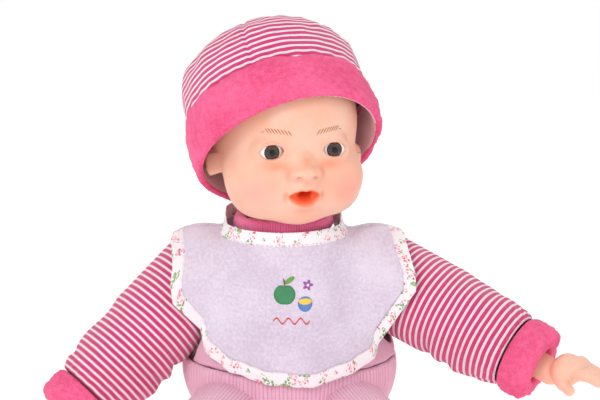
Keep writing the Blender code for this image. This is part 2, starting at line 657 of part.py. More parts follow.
def head():
    place = (
        Matrix.Translation(NECK + Vector((0, 0, HEAD_CENTRE_Z)))
        @ Matrix.Rotation(HEAD_YAW, 4, "Z")
        @ Matrix.Translation((0, -NECK_SETBACK, 0))
    )
    shell = add("head_shell", swelled_sphere("head_shell", head_form, (0, 0, 0), 24, 16),
                "vinyl_skin", "head", place)
    hollow = add("head_hollow", swelled_sphere("head_hollow", lambda p: head_form(p, nose=False) + VINYL + 0.0006, (0, 0, 0), 20, 14),
                 None, None, place, cutter=True)
    neck = add("neck_cutter", rod_mesh("neck_cutter", (0, NECK_SETBACK, -0.065), (0, NECK_SETBACK, -0.040), 0.0157, steps=16),
               None, None, place, cutter=True)
    mouth = add("mouth_cutter",
                rod_mesh("mouth_cutter", (0, -0.080, MOUTH.z), (0, -0.030, MOUTH.z), MOUTH_BORE, steps=12),
                None, None, place, cutter=True)
    cutters = [hollow, neck, mouth]
    for side, sign in SIDES.items():
        centre = mirrored(EYE, sign)
        bm = bmesh.new()
        bmesh.ops.create_uvsphere(bm, u_segments=14, v_segments=8, radius=EYE_RADIUS)
        bmesh.ops.rotate(bm, matrix=Matrix.Rotation(math.pi / 2, 3, "X"), verts=bm.verts)
        add("eye_" + side, mesh_from(bm, "eye_" + side), "eye", "head", place @ Matrix.Translation(centre))
        bm = bmesh.new()
        bmesh.ops.create_uvsphere(bm, u_segments=12, v_segments=8, radius=EYE_RADIUS + 0.0009)
        cutters.append(add("eye_room_" + side, mesh_from(bm, "eye_room"), None, None,
                           place @ Matrix.Translation(centre), cutter=True))
        slot = rod_mesh("eye_slot", (0, -0.03, 0), (0, 0, 0), 1.0, steps=16)
        slot.transform(Matrix.Diagonal((0.0072, 1, 0.0045, 1)))
        cutters.append(add("eye_slot_" + side, slot, None, None, place @ Matrix.Translation(centre), cutter=True))
    for cutter in cutters:
        combine(shell, cutter)
    mouth_axis = place @ Matrix.Translation((0, 0, MOUTH.z)) @ Matrix.Rotation(math.pi / 2, 4, "X")
    tube = [(MOUTH_BORE, 0.0378), (0.0053, 0.0378), (0.0053, 0.0200), (MOUTH_BORE, 0.0200)]
    turned("mouth_tube", tube, "white_plastic", "head", mouth_axis, 12)
    plunger = [(0, 0.0300), (0.0036, 0.0300), (0.0036, 0.0150), (0, 0.0150)]
    turned("mouth_plunger", plunger, "white_plastic", "mouth_plunger", mouth_axis, 10)
    add("mouth_switch", box_mesh("mouth_switch", (-0.006, -0.0115, MOUTH.z - 0.004),
                                 (0.006, -0.0030, MOUTH.z + 0.004)), "black_plastic", "head", place)
    neck_axis = Matrix.Translation(NECK)
    plug = [(0.0040, 0.1626), (0.0174, 0.1626), (0.0174, 0.1608), (0.0150, 0.1574), (0.0150, 0.1505),
            (0.0132, 0.1500), (0.0132, 0.1475), (0.0154, 0.1465), (0.0154, 0.1450), (0.0040, 0.1450)]
    turned("neck_plug", plug, "white_plastic", "head", neck_axis, 16)
    wire = rod_mesh("head_wire", NECK + Vector((0, 0, 0.1460)), NECK + Vector((0, 0, 0.1640)), 0.0011, steps=8)
    add("head_wire", wire, "black_plastic", "head")
    sleeve = [(0.0194, 0.1400), (0.0194, 0.1458), (0.0176, 0.1472), (0.0150, 0.1479), (0.0150, 0.1496),
              (0.0138, 0.1496), (0.0138, 0.1479), (0.0160, 0.1471), (0.0180, 0.1455), (0.0180, 0.1400)]
    turned("neck_cloth", sleeve, "stuffing_cloth", "neck", neck_axis, 14)
    tie = [(0.0153, 0.1482), (0.0167, 0.1482), (0.0167, 0.1494), (0.0153, 0.1494)]
    turned("neck_cable_tie", tie, "white_plastic", "neck", neck_axis, 16)
    return place


def hat(head_place):
    place = head_place @ Matrix.Rotation(HAT_ROLL, 4, "Y") @ Matrix.Rotation(-HAT_TILT, 4, "X")
    cuff = [(0.0555, -0.0120), (0.0600, -0.0120), (0.0615, 0.0), (0.0618, 0.012), (0.0605, 0.021),
            (0.0572, 0.0220), (0.0560, 0.012)]
    turned("hat_cuff", cuff, "pink_fleece", "hat", place, 22)
    crown_outer = [(0, 0.0700), (0.026, 0.0690), (0.0440, 0.0630), (0.0540, 0.0510), (0.0578, 0.0370), (0.0585, 0.0228)]
    crown_inner = [(0.0567, 0.0228), (0.0560, 0.0370), (0.0524, 0.0500), (0.0428, 0.0612), (0.0255, 0.0671), (0, 0.0680)]
    turned("hat_crown", crown_outer + crown_inner, "striped_jersey", "hat", place, 22)


def sound_module():
    front = (CASE_FRONT_Y, CASE_FRONT_Y + 0.0130)
    outer = box_mesh("module_case_front", (-CASE_HALF_X, front[0], CASE_LOW_Z),
                     (CASE_HALF_X, front[1], CASE_HIGH_Z), 0.0022)
    case = add("module_case_front", outer, "white_plastic", "torso")
    cutters = [
        box_mesh("tray", (-CASE_HALF_X + CASE_WALL, front[0] + CASE_WALL, CASE_LOW_Z + CASE_WALL),
                 (CASE_HALF_X - CASE_WALL, 0.06, CASE_HIGH_Z - CASE_WALL)),
        rod_mesh("button_hole", (0, -0.03, BUTTON_Z), (0, 0.0, BUTTON_Z), BUTTON_RADIUS + 0.0006),
    ]
    for i in range(7):
        angle = i * math.pi / 3
        away = 0.0 if i == 6 else 0.0065
        x, z = away * math.cos(angle), SPEAKER_Z + away * math.sin(angle)
        cutters.append(rod_mesh("sound_hole", (x, -0.03, z), (x, -0.004, z), 0.0016, steps=8))
    for i, mesh in enumerate(cutters):
        combine(case, add(f"front_cutter_{i}", mesh, None, None, cutter=True))
    rear_start = front[1] + GAP
    rear = add("module_case_rear",
               box_mesh("module_case_rear", (-CASE_HALF_X, rear_start, CASE_LOW_Z),
                        (CASE_HALF_X, CASE_BACK_Y, CASE_HIGH_Z), 0.0022), "white_plastic", "torso")
    rear_cutters = [
        box_mesh("rear_tray", (-CASE_HALF_X + CASE_WALL, -0.03, CASE_LOW_Z + CASE_WALL),
                 (CASE_HALF_X - CASE_WALL, CASE_BACK_Y - CASE_WALL, CASE_HIGH_Z - CASE_WALL)),
        box_mesh("bay", (-COVER_HALF_X, 0.0, COVER_LOW_Z), (COVER_HALF_X, 0.05, COVER_HIGH_Z)),
        box_mesh("switch_slot", (SWITCH_X - 0.0052, 0.0, SWITCH_Z - 0.0024),
                 (SWITCH_X + 0.0052, 0.05, SWITCH_Z + 0.0024)),
    ]
    for i, mesh in enumerate(rear_cutters):
        combine(rear, add(f"rear_cutter_{i}", mesh, None, None, cutter=True))
    add("battery_cover",
        box_mesh("battery_cover", (-COVER_HALF_X + 0.0004, CASE_BACK_Y - 0.0014, COVER_LOW_Z + 0.0004),
                 (COVER_HALF_X - 0.0004, CASE_BACK_Y + 0.0006, COVER_HIGH_Z - 0.0004)),
        "white_plastic", "battery_cover")
    back_axis = Matrix.Translation((0, 0, COVER_HIGH_Z - 0.005)) @ Matrix.Rotation(-math.pi / 2, 4, "X")
    screw = [(0, 0.0214), (0.0024, 0.0214), (0.0024, 0.0200), (0, 0.0200)]
    turned("battery_cover_screw", screw, "bright_metal", "battery_cover", back_axis, 10)
    add("circuit_board",
        box_mesh("circuit_board", (-0.0236, BOARD_Y, 0.0520), (0.0236, BOARD_Y + 0.0012, 0.0880)),
        "circuit", "torso")
    add("press_switch", box_mesh("press_switch", (-0.0030, BOARD_Y - 0.0022, BUTTON_Z - 0.003),
                                 (0.0030, BOARD_Y - 0.0003, BUTTON_Z + 0.003)), "black_plastic", "torso")
    add("sound_chip", box_mesh("sound_chip", (0.0110, BOARD_Y - 0.0019, 0.0600),
                               (0.0210, BOARD_Y - 0.0003, 0.0700)), "black_plastic", "torso")
    front_axis = Matrix.Translation((0, 0, BUTTON_Z)) @ Matrix.Rotation(math.pi / 2, 4, "X")
    # Along this axis, height counts forwards from y = 0.
    button = [(0, 0.0165), (0.0070, 0.0160), (BUTTON_RADIUS, 0.0140), (BUTTON_RADIUS, 0.0050),
              (0.0105, 0.0050), (0.0105, 0.0038), (0.0022, 0.0038), (0.0018, 0.0026), (0, 0.0026)]
    turned("press_button", button, "white_plastic", "press_button", front_axis, 16)
    coil("button_spring", Vector((0, 0, BUTTON_Z)), Vector((0, 1, 0)), -0.0034, 0.0024, 0.0066, 0.0066, 2.6, 0.00035,
         "torso")
    speaker_axis = Matrix.Translation((0, 0, SPEAKER_Z)) @ Matrix.Rotation(math.pi / 2, 4, "X")
    basket = [(SPEAKER_RADIUS, 0.0050), (0.0112, 0.0050), (0.0112, 0.0040), (0.0090, -0.0008),
              (0.0050, -0.0008), (0.0050, -0.0020), (0.0095, -0.0020), (SPEAKER_RADIUS, 0.0036)]
    turned("speaker_basket", basket, "black_plastic", "torso", speaker_axis, 16)
    cone = [(0.0105, 0.0046), (0.0040, 0.0012), (0, 0.0012), (0, 0.0004), (0.0044, 0.0004), (0.0105, 0.0038)]
    turned("speaker_cone", cone, "paper_cone", "torso", speaker_axis, 16)
    magnet = [(0, -0.0024), (0.0080, -0.0024), (0.0080, -0.0075), (0, -0.0075)]
    turned("speaker_magnet", magnet, "bright_metal", "torso", speaker_axis, 14)
    for i in range(3):
        z = BATTERY_LOW_Z + i * BATTERY_PITCH
        add(f"battery_{i + 1}",
            rod_mesh(f"battery_{i + 1}", (-0.0212, BATTERY_Y, z), (-0.0212 + BATTERY_LENGTH, BATTERY_Y, z),
                     BATTERY_RADIUS, steps=12), "battery_sleeve", "torso")
        coil(f"contact_spring_{i + 1}", Vector((0, BATTERY_Y, z)), Vector((1, 0, 0)), -0.0236, -0.0219,
             0.0034, 0.0020, 2.0, 0.0003, "torso")
    add("contact_plate", box_mesh("contact_plate", (0.0235, BATTERY_Y - 0.0040, BATTERY_LOW_Z - 0.0045),
                                  (0.0239, BATTERY_Y + 0.0040, BATTERY_LOW_Z + 2 * BATTERY_PITCH + 0.0045)),
        "bright_metal", "torso")
    for name, sign in SIDES.items():
        axis = Matrix.Translation((sign * 0.0205, 0, 0.1125)) @ Matrix.Rotation(-math.pi / 2, 4, "X")
        screw = [(0, CASE_BACK_Y + 0.0019), (0.0023, CASE_BACK_Y + 0.0019), (0.0023, CASE_BACK_Y + 0.0004),
                 (0, CASE_BACK_Y + 0.0004)]
        turned("case_screw_" + name, screw, "bright_metal", "torso", axis, 10)
    add("switch_knob", box_mesh("switch_knob", (SWITCH_X - 0.0048, CASE_BACK_Y - 0.0012, SWITCH_Z - 0.0019),
                                (SWITCH_X - 0.0008, CASE_BACK_Y + 0.0016, SWITCH_Z + 0.0019)),
        "black_plastic", "switch_knob")
    wire = rod_mesh("module_wire", NECK + Vector((0, 0, CASE_HIGH_Z + 0.0004)), NECK + Vector((0, 0, 0.1420)), 0.0011,
                    steps=8)
    add("module_wire", wire, "black_plastic", "torso")


def coil(name, centre, axis, start, end, radius, end_radius, turns, wire, body_name):
    """A wire spring round an axis, wound by a loop."""
    side = axis.orthogonal().normalized()
    across = axis.cross(side)
    steps = int(turns * 8)
    curve = bpy.data.curves.new(name, "CURVE")
    curve.dimensions = "3D"
    curve.bevel_depth = wire
    curve.bevel_resolution = 0
    curve.use_fill_caps = True
    spline = curve.splines.new("POLY")
    spline.points.add(steps)
    for i in range(steps + 1):
        share = i / steps
        angle = 2 * math.pi * turns * share
        r = radius + (end_radius - radius) * share
        point = (centre + axis * (start + (end - start) * share)
                 + r * (math.cos(angle) * side + math.sin(angle) * across))
        spline.points[i].co = (*point, 1.0)
    obj = bpy.data.objects.new(name, curve)
    curve.materials.append(MATERIALS["bright_metal"])
    PARTS.objects.link(obj)
    obj.parent = BODIES[body_name]
    obj.matrix_parent_inverse = Matrix.Translation(-BODY_PIVOTS[body_name])


def main():
    neck_pivot = NECK + Vector((0, 0, NECK_BEND_Z))
    body("torso", (0, 0, 0))
    body("neck", neck_pivot, "torso")
    body("head", NECK + Vector((0, 0, 0.153)), "neck")
    body("hat", NECK + Vector((0, 0, HEAD_CENTRE_Z)), "head")
    body("mouth_plunger", NECK + Vector((0, 0, HEAD_CENTRE_Z + MOUTH.z)), "head")
    body("press_button", (0, 0, BUTTON_Z), "torso")
    body("switch_knob", (SWITCH_X, CASE_BACK_Y, SWITCH_Z), "torso")
    body("battery_cover", (0, CASE_BACK_Y, COVER_LOW_Z), "torso")
    body("back_flap", (0, 0.0438, 0.1155), "torso")
    for side, sign in SIDES.items():
        shoulder, hip = mirrored(SHOULDER, sign), mirrored(HIP, sign)
        body("arm_" + side, shoulder, "torso")
        body("hand_" + side, shoulder + ARM_DIRECTIONS[side].normalized() * ARM_LENGTH, "arm_" + side)
        body("leg_" + side, hip, "torso")
        body("foot_" + side, hip + LEG_DIRECTIONS[side].normalized() * LEG_LENGTH, "leg_" + side)
    torso()
    back_flap()
    bib()
    sound_module()
    hat(head())
    for side, sign in SIDES.items():
        arm(side, sign)
        leg(side, sign)


main()
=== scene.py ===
import math

import bmesh
import bpy
import numpy as np
from mathutils import Matrix, Vector
from mathutils.bvhtree import BVHTree


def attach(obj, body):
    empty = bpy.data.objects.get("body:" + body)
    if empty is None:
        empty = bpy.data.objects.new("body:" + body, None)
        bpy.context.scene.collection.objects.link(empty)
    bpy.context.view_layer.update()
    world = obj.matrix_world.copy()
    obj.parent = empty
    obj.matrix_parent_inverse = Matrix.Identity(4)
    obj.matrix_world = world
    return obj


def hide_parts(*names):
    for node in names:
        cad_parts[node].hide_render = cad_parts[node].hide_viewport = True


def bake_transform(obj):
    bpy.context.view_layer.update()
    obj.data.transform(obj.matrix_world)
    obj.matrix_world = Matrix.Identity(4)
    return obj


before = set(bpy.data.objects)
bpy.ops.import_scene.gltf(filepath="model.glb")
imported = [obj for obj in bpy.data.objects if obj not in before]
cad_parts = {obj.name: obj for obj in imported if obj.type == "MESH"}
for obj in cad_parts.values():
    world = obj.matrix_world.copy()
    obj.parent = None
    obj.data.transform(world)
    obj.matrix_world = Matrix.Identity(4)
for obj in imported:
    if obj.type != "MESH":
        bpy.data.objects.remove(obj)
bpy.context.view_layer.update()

NECK = Vector((-0.004, 0.004, 0.0))
NECK_SETBACK = 0.006
HEAD_PLACE = (Matrix.Translation(NECK + Vector((0, 0, 0.2015))) @ Matrix.Rotation(math.radians(15.5), 4, "Z")
              @ Matrix.Translation((0, -NECK_SETBACK, 0)))
HAT_ROLL, HAT_TILT = math.radians(-6), math.radians(42)
HAT_PLACE = HEAD_PLACE @ Matrix.Rotation(HAT_ROLL, 4, "Y") @ Matrix.Rotation(-HAT_TILT, 4, "X")
SHOULDER, HIP = Vector((0.056, 0.004, 0.110)), Vector((0.036, -0.030, 0.0272))
ARM_BALL, HIP_BALL, ARM_LENGTH, LEG_LENGTH = 0.030, 0.026, 0.106, 0.100
YOKE_Z, CHEST_TOP_Z = 0.060, 0.1365
EYE = Vector((0.0200, -0.0338, -0.0020))
EYE_RADIUS = 0.0095
MOUTH_Z = -0.0300
SIDES = {"left": 1, "right": -1}
ARM_DIRECTIONS = {"left": Vector((0.80, -0.50, -0.34)), "right": Vector((-0.67, -0.38, -0.64))}
ARM_RANGES = {"left": (-25, 0, 16), "right": (-5, 0, 22)}
LEG_DIRECTIONS = {"left": Vector((0.28, -0.96, -0.02)), "right": Vector((-0.28, -0.96, -0.02))}
NECKLINE_RADIUS, NECKLINE_Z = 0.0345, 0.1455
# Width of the bib's tape, where its stitches run as a share of that width, and the points round its section
BINDING, STITCH_LINE, TAPE_ROWS = 0.0092, 0.86, 26
# How thick the cloths are
HAT_CLOTH, ROMPER_CLOTH, FLAP_CLOTH, BIB_CLOTH, LIMB_CLOTH = 0.0013, 0.0014, 0.0013, 0.0011, 0.0012
# The sleeve's head lies on a ball round the shoulder: its radius at the bodice and at the sleeve, and how far
# back over the ball the sleeve starts; then its columns, and the widths of the room left for the hip's ball
SLEEVE_HEAD_RADII, SLEEVE_HEAD_TILT, SLEEVE_COLUMNS = (0.0334, 0.0301), 86.5, 160
HIP_ROOM, HIP_ROOM_EDGE = 0.0008, 0.0004
# Widths of the printed and knitted patterns
STRIPE, WALE, COURSE, PLAIN_WALE, PLAIN_COURSE = 0.0040, 0.00085, 0.0007, 0.0009, 0.0008
THREAD_STEP, SATIN_STEP, STITCH_STEP = 0.0005, 0.0006, 0.0030
# Light and camera
SKY, FLOOR_GLOW, CAMERA_AWAY, CAMERA_DOWN, FOCAL_MM = 0.74, 0.32, 0.914, math.radians(12), 85
LOOK_AT = Vector((0.0068, 0.0, 0.160))
BIB_FALL = {
    0: 0.0940, 11: 0.0957, 22: 0.0943, 32: 0.0921, 42: 0.0892, 50: 0.0876, 55: 0.0835, 58: 0.0745, 61: 0.0630,
    66: 0.0535, 74: 0.0460, 84: 0.0415, 95: 0.0365, 108: 0.0275, 122: 0.0190, 140: 0.0140, 160: 0.0130,
    180: 0.0130, 200: 0.0130, 220: 0.0140, 238: 0.0190, 252: 0.0275, 265: 0.0360, 276: 0.0370, 286: 0.0400,
    294: 0.0445, 300: 0.0520, 304: 0.0640, 308: 0.0755, 312: 0.0797, 320: 0.0832, 330: 0.0871, 340: 0.0900,
    350: 0.0933,
}


# ---- forms -------------------------------------------------------------------------------------
def ellipsoid(p, centre, radii):
    q = (p - np.array(centre)) / np.array(radii)
    near = np.linalg.norm(q, axis=-1) + 1e-9
    slope = np.linalg.norm(q / np.array(radii), axis=-1) + 1e-9
    return near * (near - 1.0) / slope


def capsule(p, start, end, radius):
    a, b = np.array(start, float), np.array(end, float)
    share = np.clip(((p - a) @ (b - a)) / np.dot(b - a, b - a), 0.0, 1.0)
    return np.linalg.norm(p - a - share[..., None] * (b - a), axis=-1) - radius


def drum(p, centre, radius, half_height, rounding):
    q = p - np.array(centre)
    out = np.stack(
        [np.linalg.norm(q[..., :2], axis=-1) - radius + rounding, np.abs(q[..., 2]) - half_height + rounding]
    )
    return np.linalg.norm(np.maximum(out, 0.0), axis=0) + np.minimum(out.max(axis=0), 0.0) - rounding


def melt(distances, softness):
    stack = np.stack(distances)
    least = stack.min(axis=0)
    return least - softness * np.log(np.exp(-(stack - least) / softness).sum(axis=0))


def reach(form, centre, directions, furthest=0.16, steps=160, passes=18):
    """How far each ray runs before it leaves the form for the last time."""
    centre = np.array(centre, float)
    outer = np.full(len(directions), furthest)
    found = np.zeros(len(directions), bool)
    for t in np.linspace(furthest, 0.0, steps):
        left = ~found
        if not left.any():
            break
        inside = np.zeros(len(directions), bool)
        inside[left] = form(centre + directions[left] * t) < 0
        outer = np.where(inside, t, outer)
        found |= inside
    low, high = outer, outer + furthest / (steps - 1)
    for _ in range(passes):
        middle = (low + high) / 2
        inside = form(centre + directions * middle[:, None]) < 0
        low, high = np.where(inside, middle, low), np.where(inside, high, middle)
    return (low + high) / 2


def smooth(x, low=0.0, high=1.0):
    t = np.clip((x - low) / (high - low), 0.0, 1.0)
    return t * t * (3 - 2 * t)


def ripple(p, wavelength, seed, count=12):
    """Smooth random relief of about unit height over points."""
    random = np.random.default_rng(seed)
    ways = random.normal(size=(count, 3))
    ways /= np.linalg.norm(ways, axis=1)[:, None]
    ways *= (2 * math.pi / wavelength * random.uniform(0.6, 1.5, count))[:, None]
    return np.sin(p @ ways.T + random.uniform(0, 6.28, count)).sum(-1) / math.sqrt(count / 2)


def head_form(p):
    """The vinyl head about its own centre: skull, cheeks, chin, nose, ears, lips and eyelids."""
    pair = lambda centre, radii: [ellipsoid(p, (s * centre[0], *centre[1:]), radii) for s in (1, -1)]
    base = melt(
        [
            capsule(p, (0, NECK_SETBACK, -0.028), (0, NECK_SETBACK, -0.0325), 0.0225),
            ellipsoid(p, (0, 0.010, 0.010), (0.0480, 0.0520, 0.0470)),
            ellipsoid(p, (0, -0.012, 0.018), (0.0370, 0.0330, 0.0300)),
            ellipsoid(p, (0, -0.008, -0.016), (0.0420, 0.0380, 0.0340)),
            ellipsoid(p, (0, -0.0300, -0.0375), (0.0180, 0.0135, 0.0122)),
        ] + pair((0.023, -0.022, -0.022), (0.0205, 0.0195, 0.0185)) + pair(
            (0.0195, -0.0235, -0.0335), (0.0190, 0.0150, 0.0125)
        ),
        0.0030,
    )
    lids = pair(tuple(EYE), (EYE_RADIUS + 0.0012, EYE_RADIUS + 0.0009, EYE_RADIUS + 0.0009))
    base = melt([base] + lids, 0.0012)
    fine = [
        ellipsoid(p, (0, -0.0440, -0.0095), (0.0062, 0.0050, 0.0070)),
        ellipsoid(p, (0, -0.0490, -0.0143), (0.0062, 0.0060, 0.0046)),
        ellipsoid(p, (0, -0.0437, -0.0235), (0.0060, 0.0040, 0.0050)),
        ellipsoid(p, (0, -0.0432, -0.0262), (0.0090, 0.0050, 0.0034)),
        ellipsoid(p, (0, -0.0410, -0.0352), (0.0082, 0.0060, 0.0034)),
    ]
    fine += pair((0.0068, -0.0457, -0.0156), (0.0042, 0.0048, 0.0036))
    fine += pair((0.0475, 0.0040, -0.0150), (0.0040, 0.0060, 0.0085))
    return melt([base] + fine, 0.0014)


def torso_form(p, ease=0.0):
    return melt(
        [
            ellipsoid(p, (0, -0.004, 0.052), (0.070, 0.054, 0.060)),
            ellipsoid(p, (0, 0.000, 0.098), (0.057, 0.040, 0.044)),
            ellipsoid(p, (-0.002, 0.004, 0.1235), (0.042, 0.039, 0.022)),
        ],
        0.004,
    ) - ease


def mirrored(vector, sign):
    return Vector((vector[0] * sign, vector[1], vector[2]))


def arm_directions(side, angles=None):
    direction = ARM_DIRECTIONS[side].normalized()
    axis = direction.cross(Vector((0, 0, 1))).normalized()
    return [Matrix.Rotation(math.radians(a), 3, axis) @ direction for a in angles or ARM_RANGES[side]]


def along(origin, direction):
    """A frame with Z along a limb and X on its upper side."""
    z = Vector(direction).normalized()
    x = Vector((0, 0, 1))
    x = (x - z * x.dot(z)).normalized()
    rotation = Matrix((x, z.cross(x), z)).transposed().to_4x4()
    return Matrix.Translation(origin) @ rotation


# ---- materials ---------------------------------------------------------------------------------
def linear(colour):
    c = np.array(colour, float) / 255
    return np.where(c <= 0.04045, c / 12.92, ((c + 0.055) / 1.055) ** 2.4)


def rgba(colour):
    return (*linear(colour), 1.0)


class Finish:
    """A node-based material round one Principled shader."""

    def __init__(self, name, **fixed):
        self.material = bpy.data.materials.new(name)
        self.material.use_nodes = True
        self.tree = self.material.node_tree
        self.shader = self.tree.nodes["Principled BSDF"]
        for key, value in fixed.items():
            self.shader.inputs[key.replace("_", " ")].default_value = value

    def add(self, kind, inputs=(), pick=0, **settings):
        made = self.tree.nodes.new("ShaderNode" + kind)
        for key, value in settings.items():
            setattr(made, key, value)
        for key, value in dict(inputs).items():
            if isinstance(value, bpy.types.NodeSocket):
                self.tree.links.new(value, made.inputs[key])
            else:
                made.inputs[key].default_value = value
        return made.outputs[pick]

    def math(self, operation, a, b=0.0, c=0.0):
        return self.add("Math", {0: a, 1: b, 2: c}, operation=operation)

    def mix(self, share, a, b, how="MIX"):
        return self.add("Mix", {0: share, 6: a, 7: b}, pick=2, data_type="RGBA", blend_type=how)

    def ramp(self, value, low, high, start=0.0, end=1.0):
        return self.add(
            "MapRange", {0: value, 1: low, 2: high, 3: start, 4: end}, interpolation_type="SMOOTHSTEP"
        )

    def noise(self, where, scale, detail=2.0, roughness=0.5, pick=0):
        return self.add(
            "TexNoise", {"Vector": where, "Scale": scale, "Detail": detail, "Roughness": roughness}, pick=pick
        )

    def cells(self, where, scale, pick=0):
        return self.add("TexVoronoi", {"Vector": where, "Scale": scale}, pick=pick)

    def uv(self):
        return self.add("UVMap", uv_map="metres")

    def parts(self, where):
        split = self.tree.nodes.new("ShaderNodeSeparateXYZ")
        self.tree.links.new(where, split.inputs[0])
        return split.outputs

    def bump(self, height, distance, strength=1.0):
        return self.add("Bump", {"Height": height, "Distance": distance, "Strength": strength})

    def set(self, **links):
        for key, socket in links.items():
            self.tree.links.new(socket, self.shader.inputs[key.replace("_", " ")])
        return self


def knit_height(f, uv, wale, course):
    """Relief of a plain knit: columns of small V loops, wale wide and course high."""
    u, v, _ = f.parts(uv)
    column = f.math("MULTIPLY", u, 1 / wale)
    lean = f.math("PINGPONG", column, 0.5)
    rise = f.math("ADD", f.math("MULTIPLY", v, 1 / course), f.math("MULTIPLY", lean, 1.1))
    loop = f.math("PINGPONG", rise, 0.5)
    rib = f.math("SINE", f.math("MULTIPLY", lean, 6.283))
    return f.math("ADD", f.math("MULTIPLY", rib, 0.8), loop)


def striped_jersey():
    f = Finish("striped_jersey", Roughness=0.86, Sheen_Weight=0.25, Sheen_Roughness=0.5)
    uv = f.uv()
    u, v, _ = f.parts(uv)
    wobble = f.math("MULTIPLY", f.math("SUBTRACT", f.noise(uv, 60, 1), 0.5), 0.0006)
    phase = f.math("PINGPONG", f.math("MULTIPLY", f.math("ADD", v, wobble), 1 / STRIPE), 0.5)
    height = knit_height(f, uv, WALE, COURSE)
    stripe = f.ramp(f.math("ADD", phase, f.math("MULTIPLY", height, 0.02)), 0.300, 0.345)
    fade = f.noise(uv, 300, 2)
    pink = f.mix(fade, rgba((205, 36, 100)), rgba((226, 66, 126)))
    pale = f.mix(fade, rgba((240, 214, 232)), rgba((250, 240, 248)))
    f.set(Base_Color=f.mix(stripe, pink, pale), Normal=f.bump(height, 0.00022, 0.7))
    return f.material


def plain_jersey(name, low, high, rib=None):
    """Pale knit; rib is the width of one vertical rib, where it is ribbed."""
    f = Finish(name, Roughness=0.88, Sheen_Weight=0.3, Sheen_Roughness=0.5)
    uv = f.uv()
    u, v, _ = f.parts(uv)
    height = knit_height(f, uv, PLAIN_WALE, PLAIN_COURSE)
    tone = f.noise(uv, 45, 3)
    colour = f.mix(tone, rgba(low), rgba(high))
    if rib:
        groove = f.math("PINGPONG", f.math("MULTIPLY", u, 1 / rib), 0.5)
        groove = f.math("SINE", f.math("MULTIPLY", groove, 3.1416))
        height = f.math("ADD", f.math("MULTIPLY", groove, 2.2), f.math("MULTIPLY", height, 0.4))
        # painted shade: a darker copy of the knit's colour in the valleys between the ribs
        colour = f.mix(f.ramp(groove, 0.0, 0.55, 0.55, 0.0), colour, rgba([c * 0.82 for c in low]))
    f.set(Base_Color=colour, Normal=f.bump(height, 0.00028, 0.8))
    return f.material


def fleece(name, dark, mid, light):
    """Short soft pile: fine tufts, painted paler on the tips that stand proud (painted highlight) and darker
    in the low clumps (painted shade).
    """
    f = Finish(name, Roughness=0.95, Sheen_Weight=0.55, Sheen_Roughness=0.35)
    f.shader.inputs["Sheen Tint"].default_value = rgba(light)
    uv = f.uv()
    tuft = f.noise(uv, 1500, 3, 0.65)
    clump = f.noise(uv, 260, 3, 0.6)
    broad = f.noise(uv, 28, 2)
    shade = f.math("ADD", f.math("MULTIPLY", clump, 0.5), f.math("MULTIPLY", broad, 0.5))
    # painted shade: darker where the clumps of pile sink in the bump, mixed with random broad tone
    colour = f.mix(f.ramp(shade, 0.32, 0.68), rgba(dark), rgba(mid))
    # painted highlight: paler on the tuft tips that stand proud in the bump
    colour = f.mix(f.ramp(tuft, 0.45, 0.72, 0.0, 0.55), colour, rgba(light))
    height = f.math("ADD", f.math("MULTIPLY", tuft, 0.5), clump)
    f.set(Base_Color=colour, Normal=f.bump(height, 0.0007, 0.75))
    return f.material


def terry():
    f = Finish("bib_terry", Roughness=0.95, Sheen_Weight=0.35, Sheen_Roughness=0.5)
    uv = f.uv()
    loops = f.cells(uv, 1450)
    nap = f.noise(uv, 520, 3, 0.6)
    broad = f.noise(uv, 26, 3)
    tone = f.math("ADD", f.math("MULTIPLY", nap, 0.45), f.math("MULTIPLY", broad, 0.55))
    # painted highlight and shade: paler where the nap stands proud in the bump and darker where it sinks,
    # mixed with random broad tone
    colour = f.mix(f.ramp(tone, 0.36, 0.64), rgba((208, 192, 212)), rgba((229, 219, 234)))
    height = f.math("SUBTRACT", f.math("MULTIPLY", nap, 1.2), f.math("MULTIPLY", loops, 0.8))
    f.set(Base_Color=colour, Normal=f.bump(height, 0.0004, 0.6))
    return f.material


def flower_tape():
    """White cotton tape printed with small pink blossoms and green leaves."""
    f = Finish("flower_tape", Roughness=0.8, Sheen_Weight=0.15)
    uv = f.uv()
    weave_u, weave_v, _ = f.parts(uv)
    warp = f.math("PINGPONG", f.math("MULTIPLY", weave_u, 1 / THREAD_STEP), 0.5)
    weft = f.math("PINGPONG", f.math("MULTIPLY", weave_v, 1 / THREAD_STEP), 0.5)
    flecks = f.ramp(f.cells(uv, 640), 0.40, 0.56, 1.0, 0.0)
    pick = f.parts(f.cells(uv, 640, pick=1))
    blossom = f.ramp(f.noise(uv, 105, 1), 0.530, 0.560)
    leaf = f.ramp(
        f.noise(f.add("VectorMath", {0: uv, 1: (0.31, 0.17, 0)}, operation="ADD"), 115, 1), 0.585, 0.610
    )
    pink = f.mix(pick[0], rgba((238, 120, 140)), rgba((247, 178, 186)))
    pink = f.mix(f.ramp(pick[1], 0.72, 0.78), pink, rgba((203, 82, 92)))
    green = f.mix(pick[2], rgba((96, 158, 78)), rgba((150, 196, 120)))
    colour = f.mix(f.math("MULTIPLY", blossom, flecks), rgba((246, 241, 244)), pink)
    colour = f.mix(f.math("MULTIPLY", leaf, flecks), colour, green)
    f.set(Base_Color=colour, Normal=f.bump(f.math("ADD", warp, weft), 0.00012, 0.5))
    return f.material


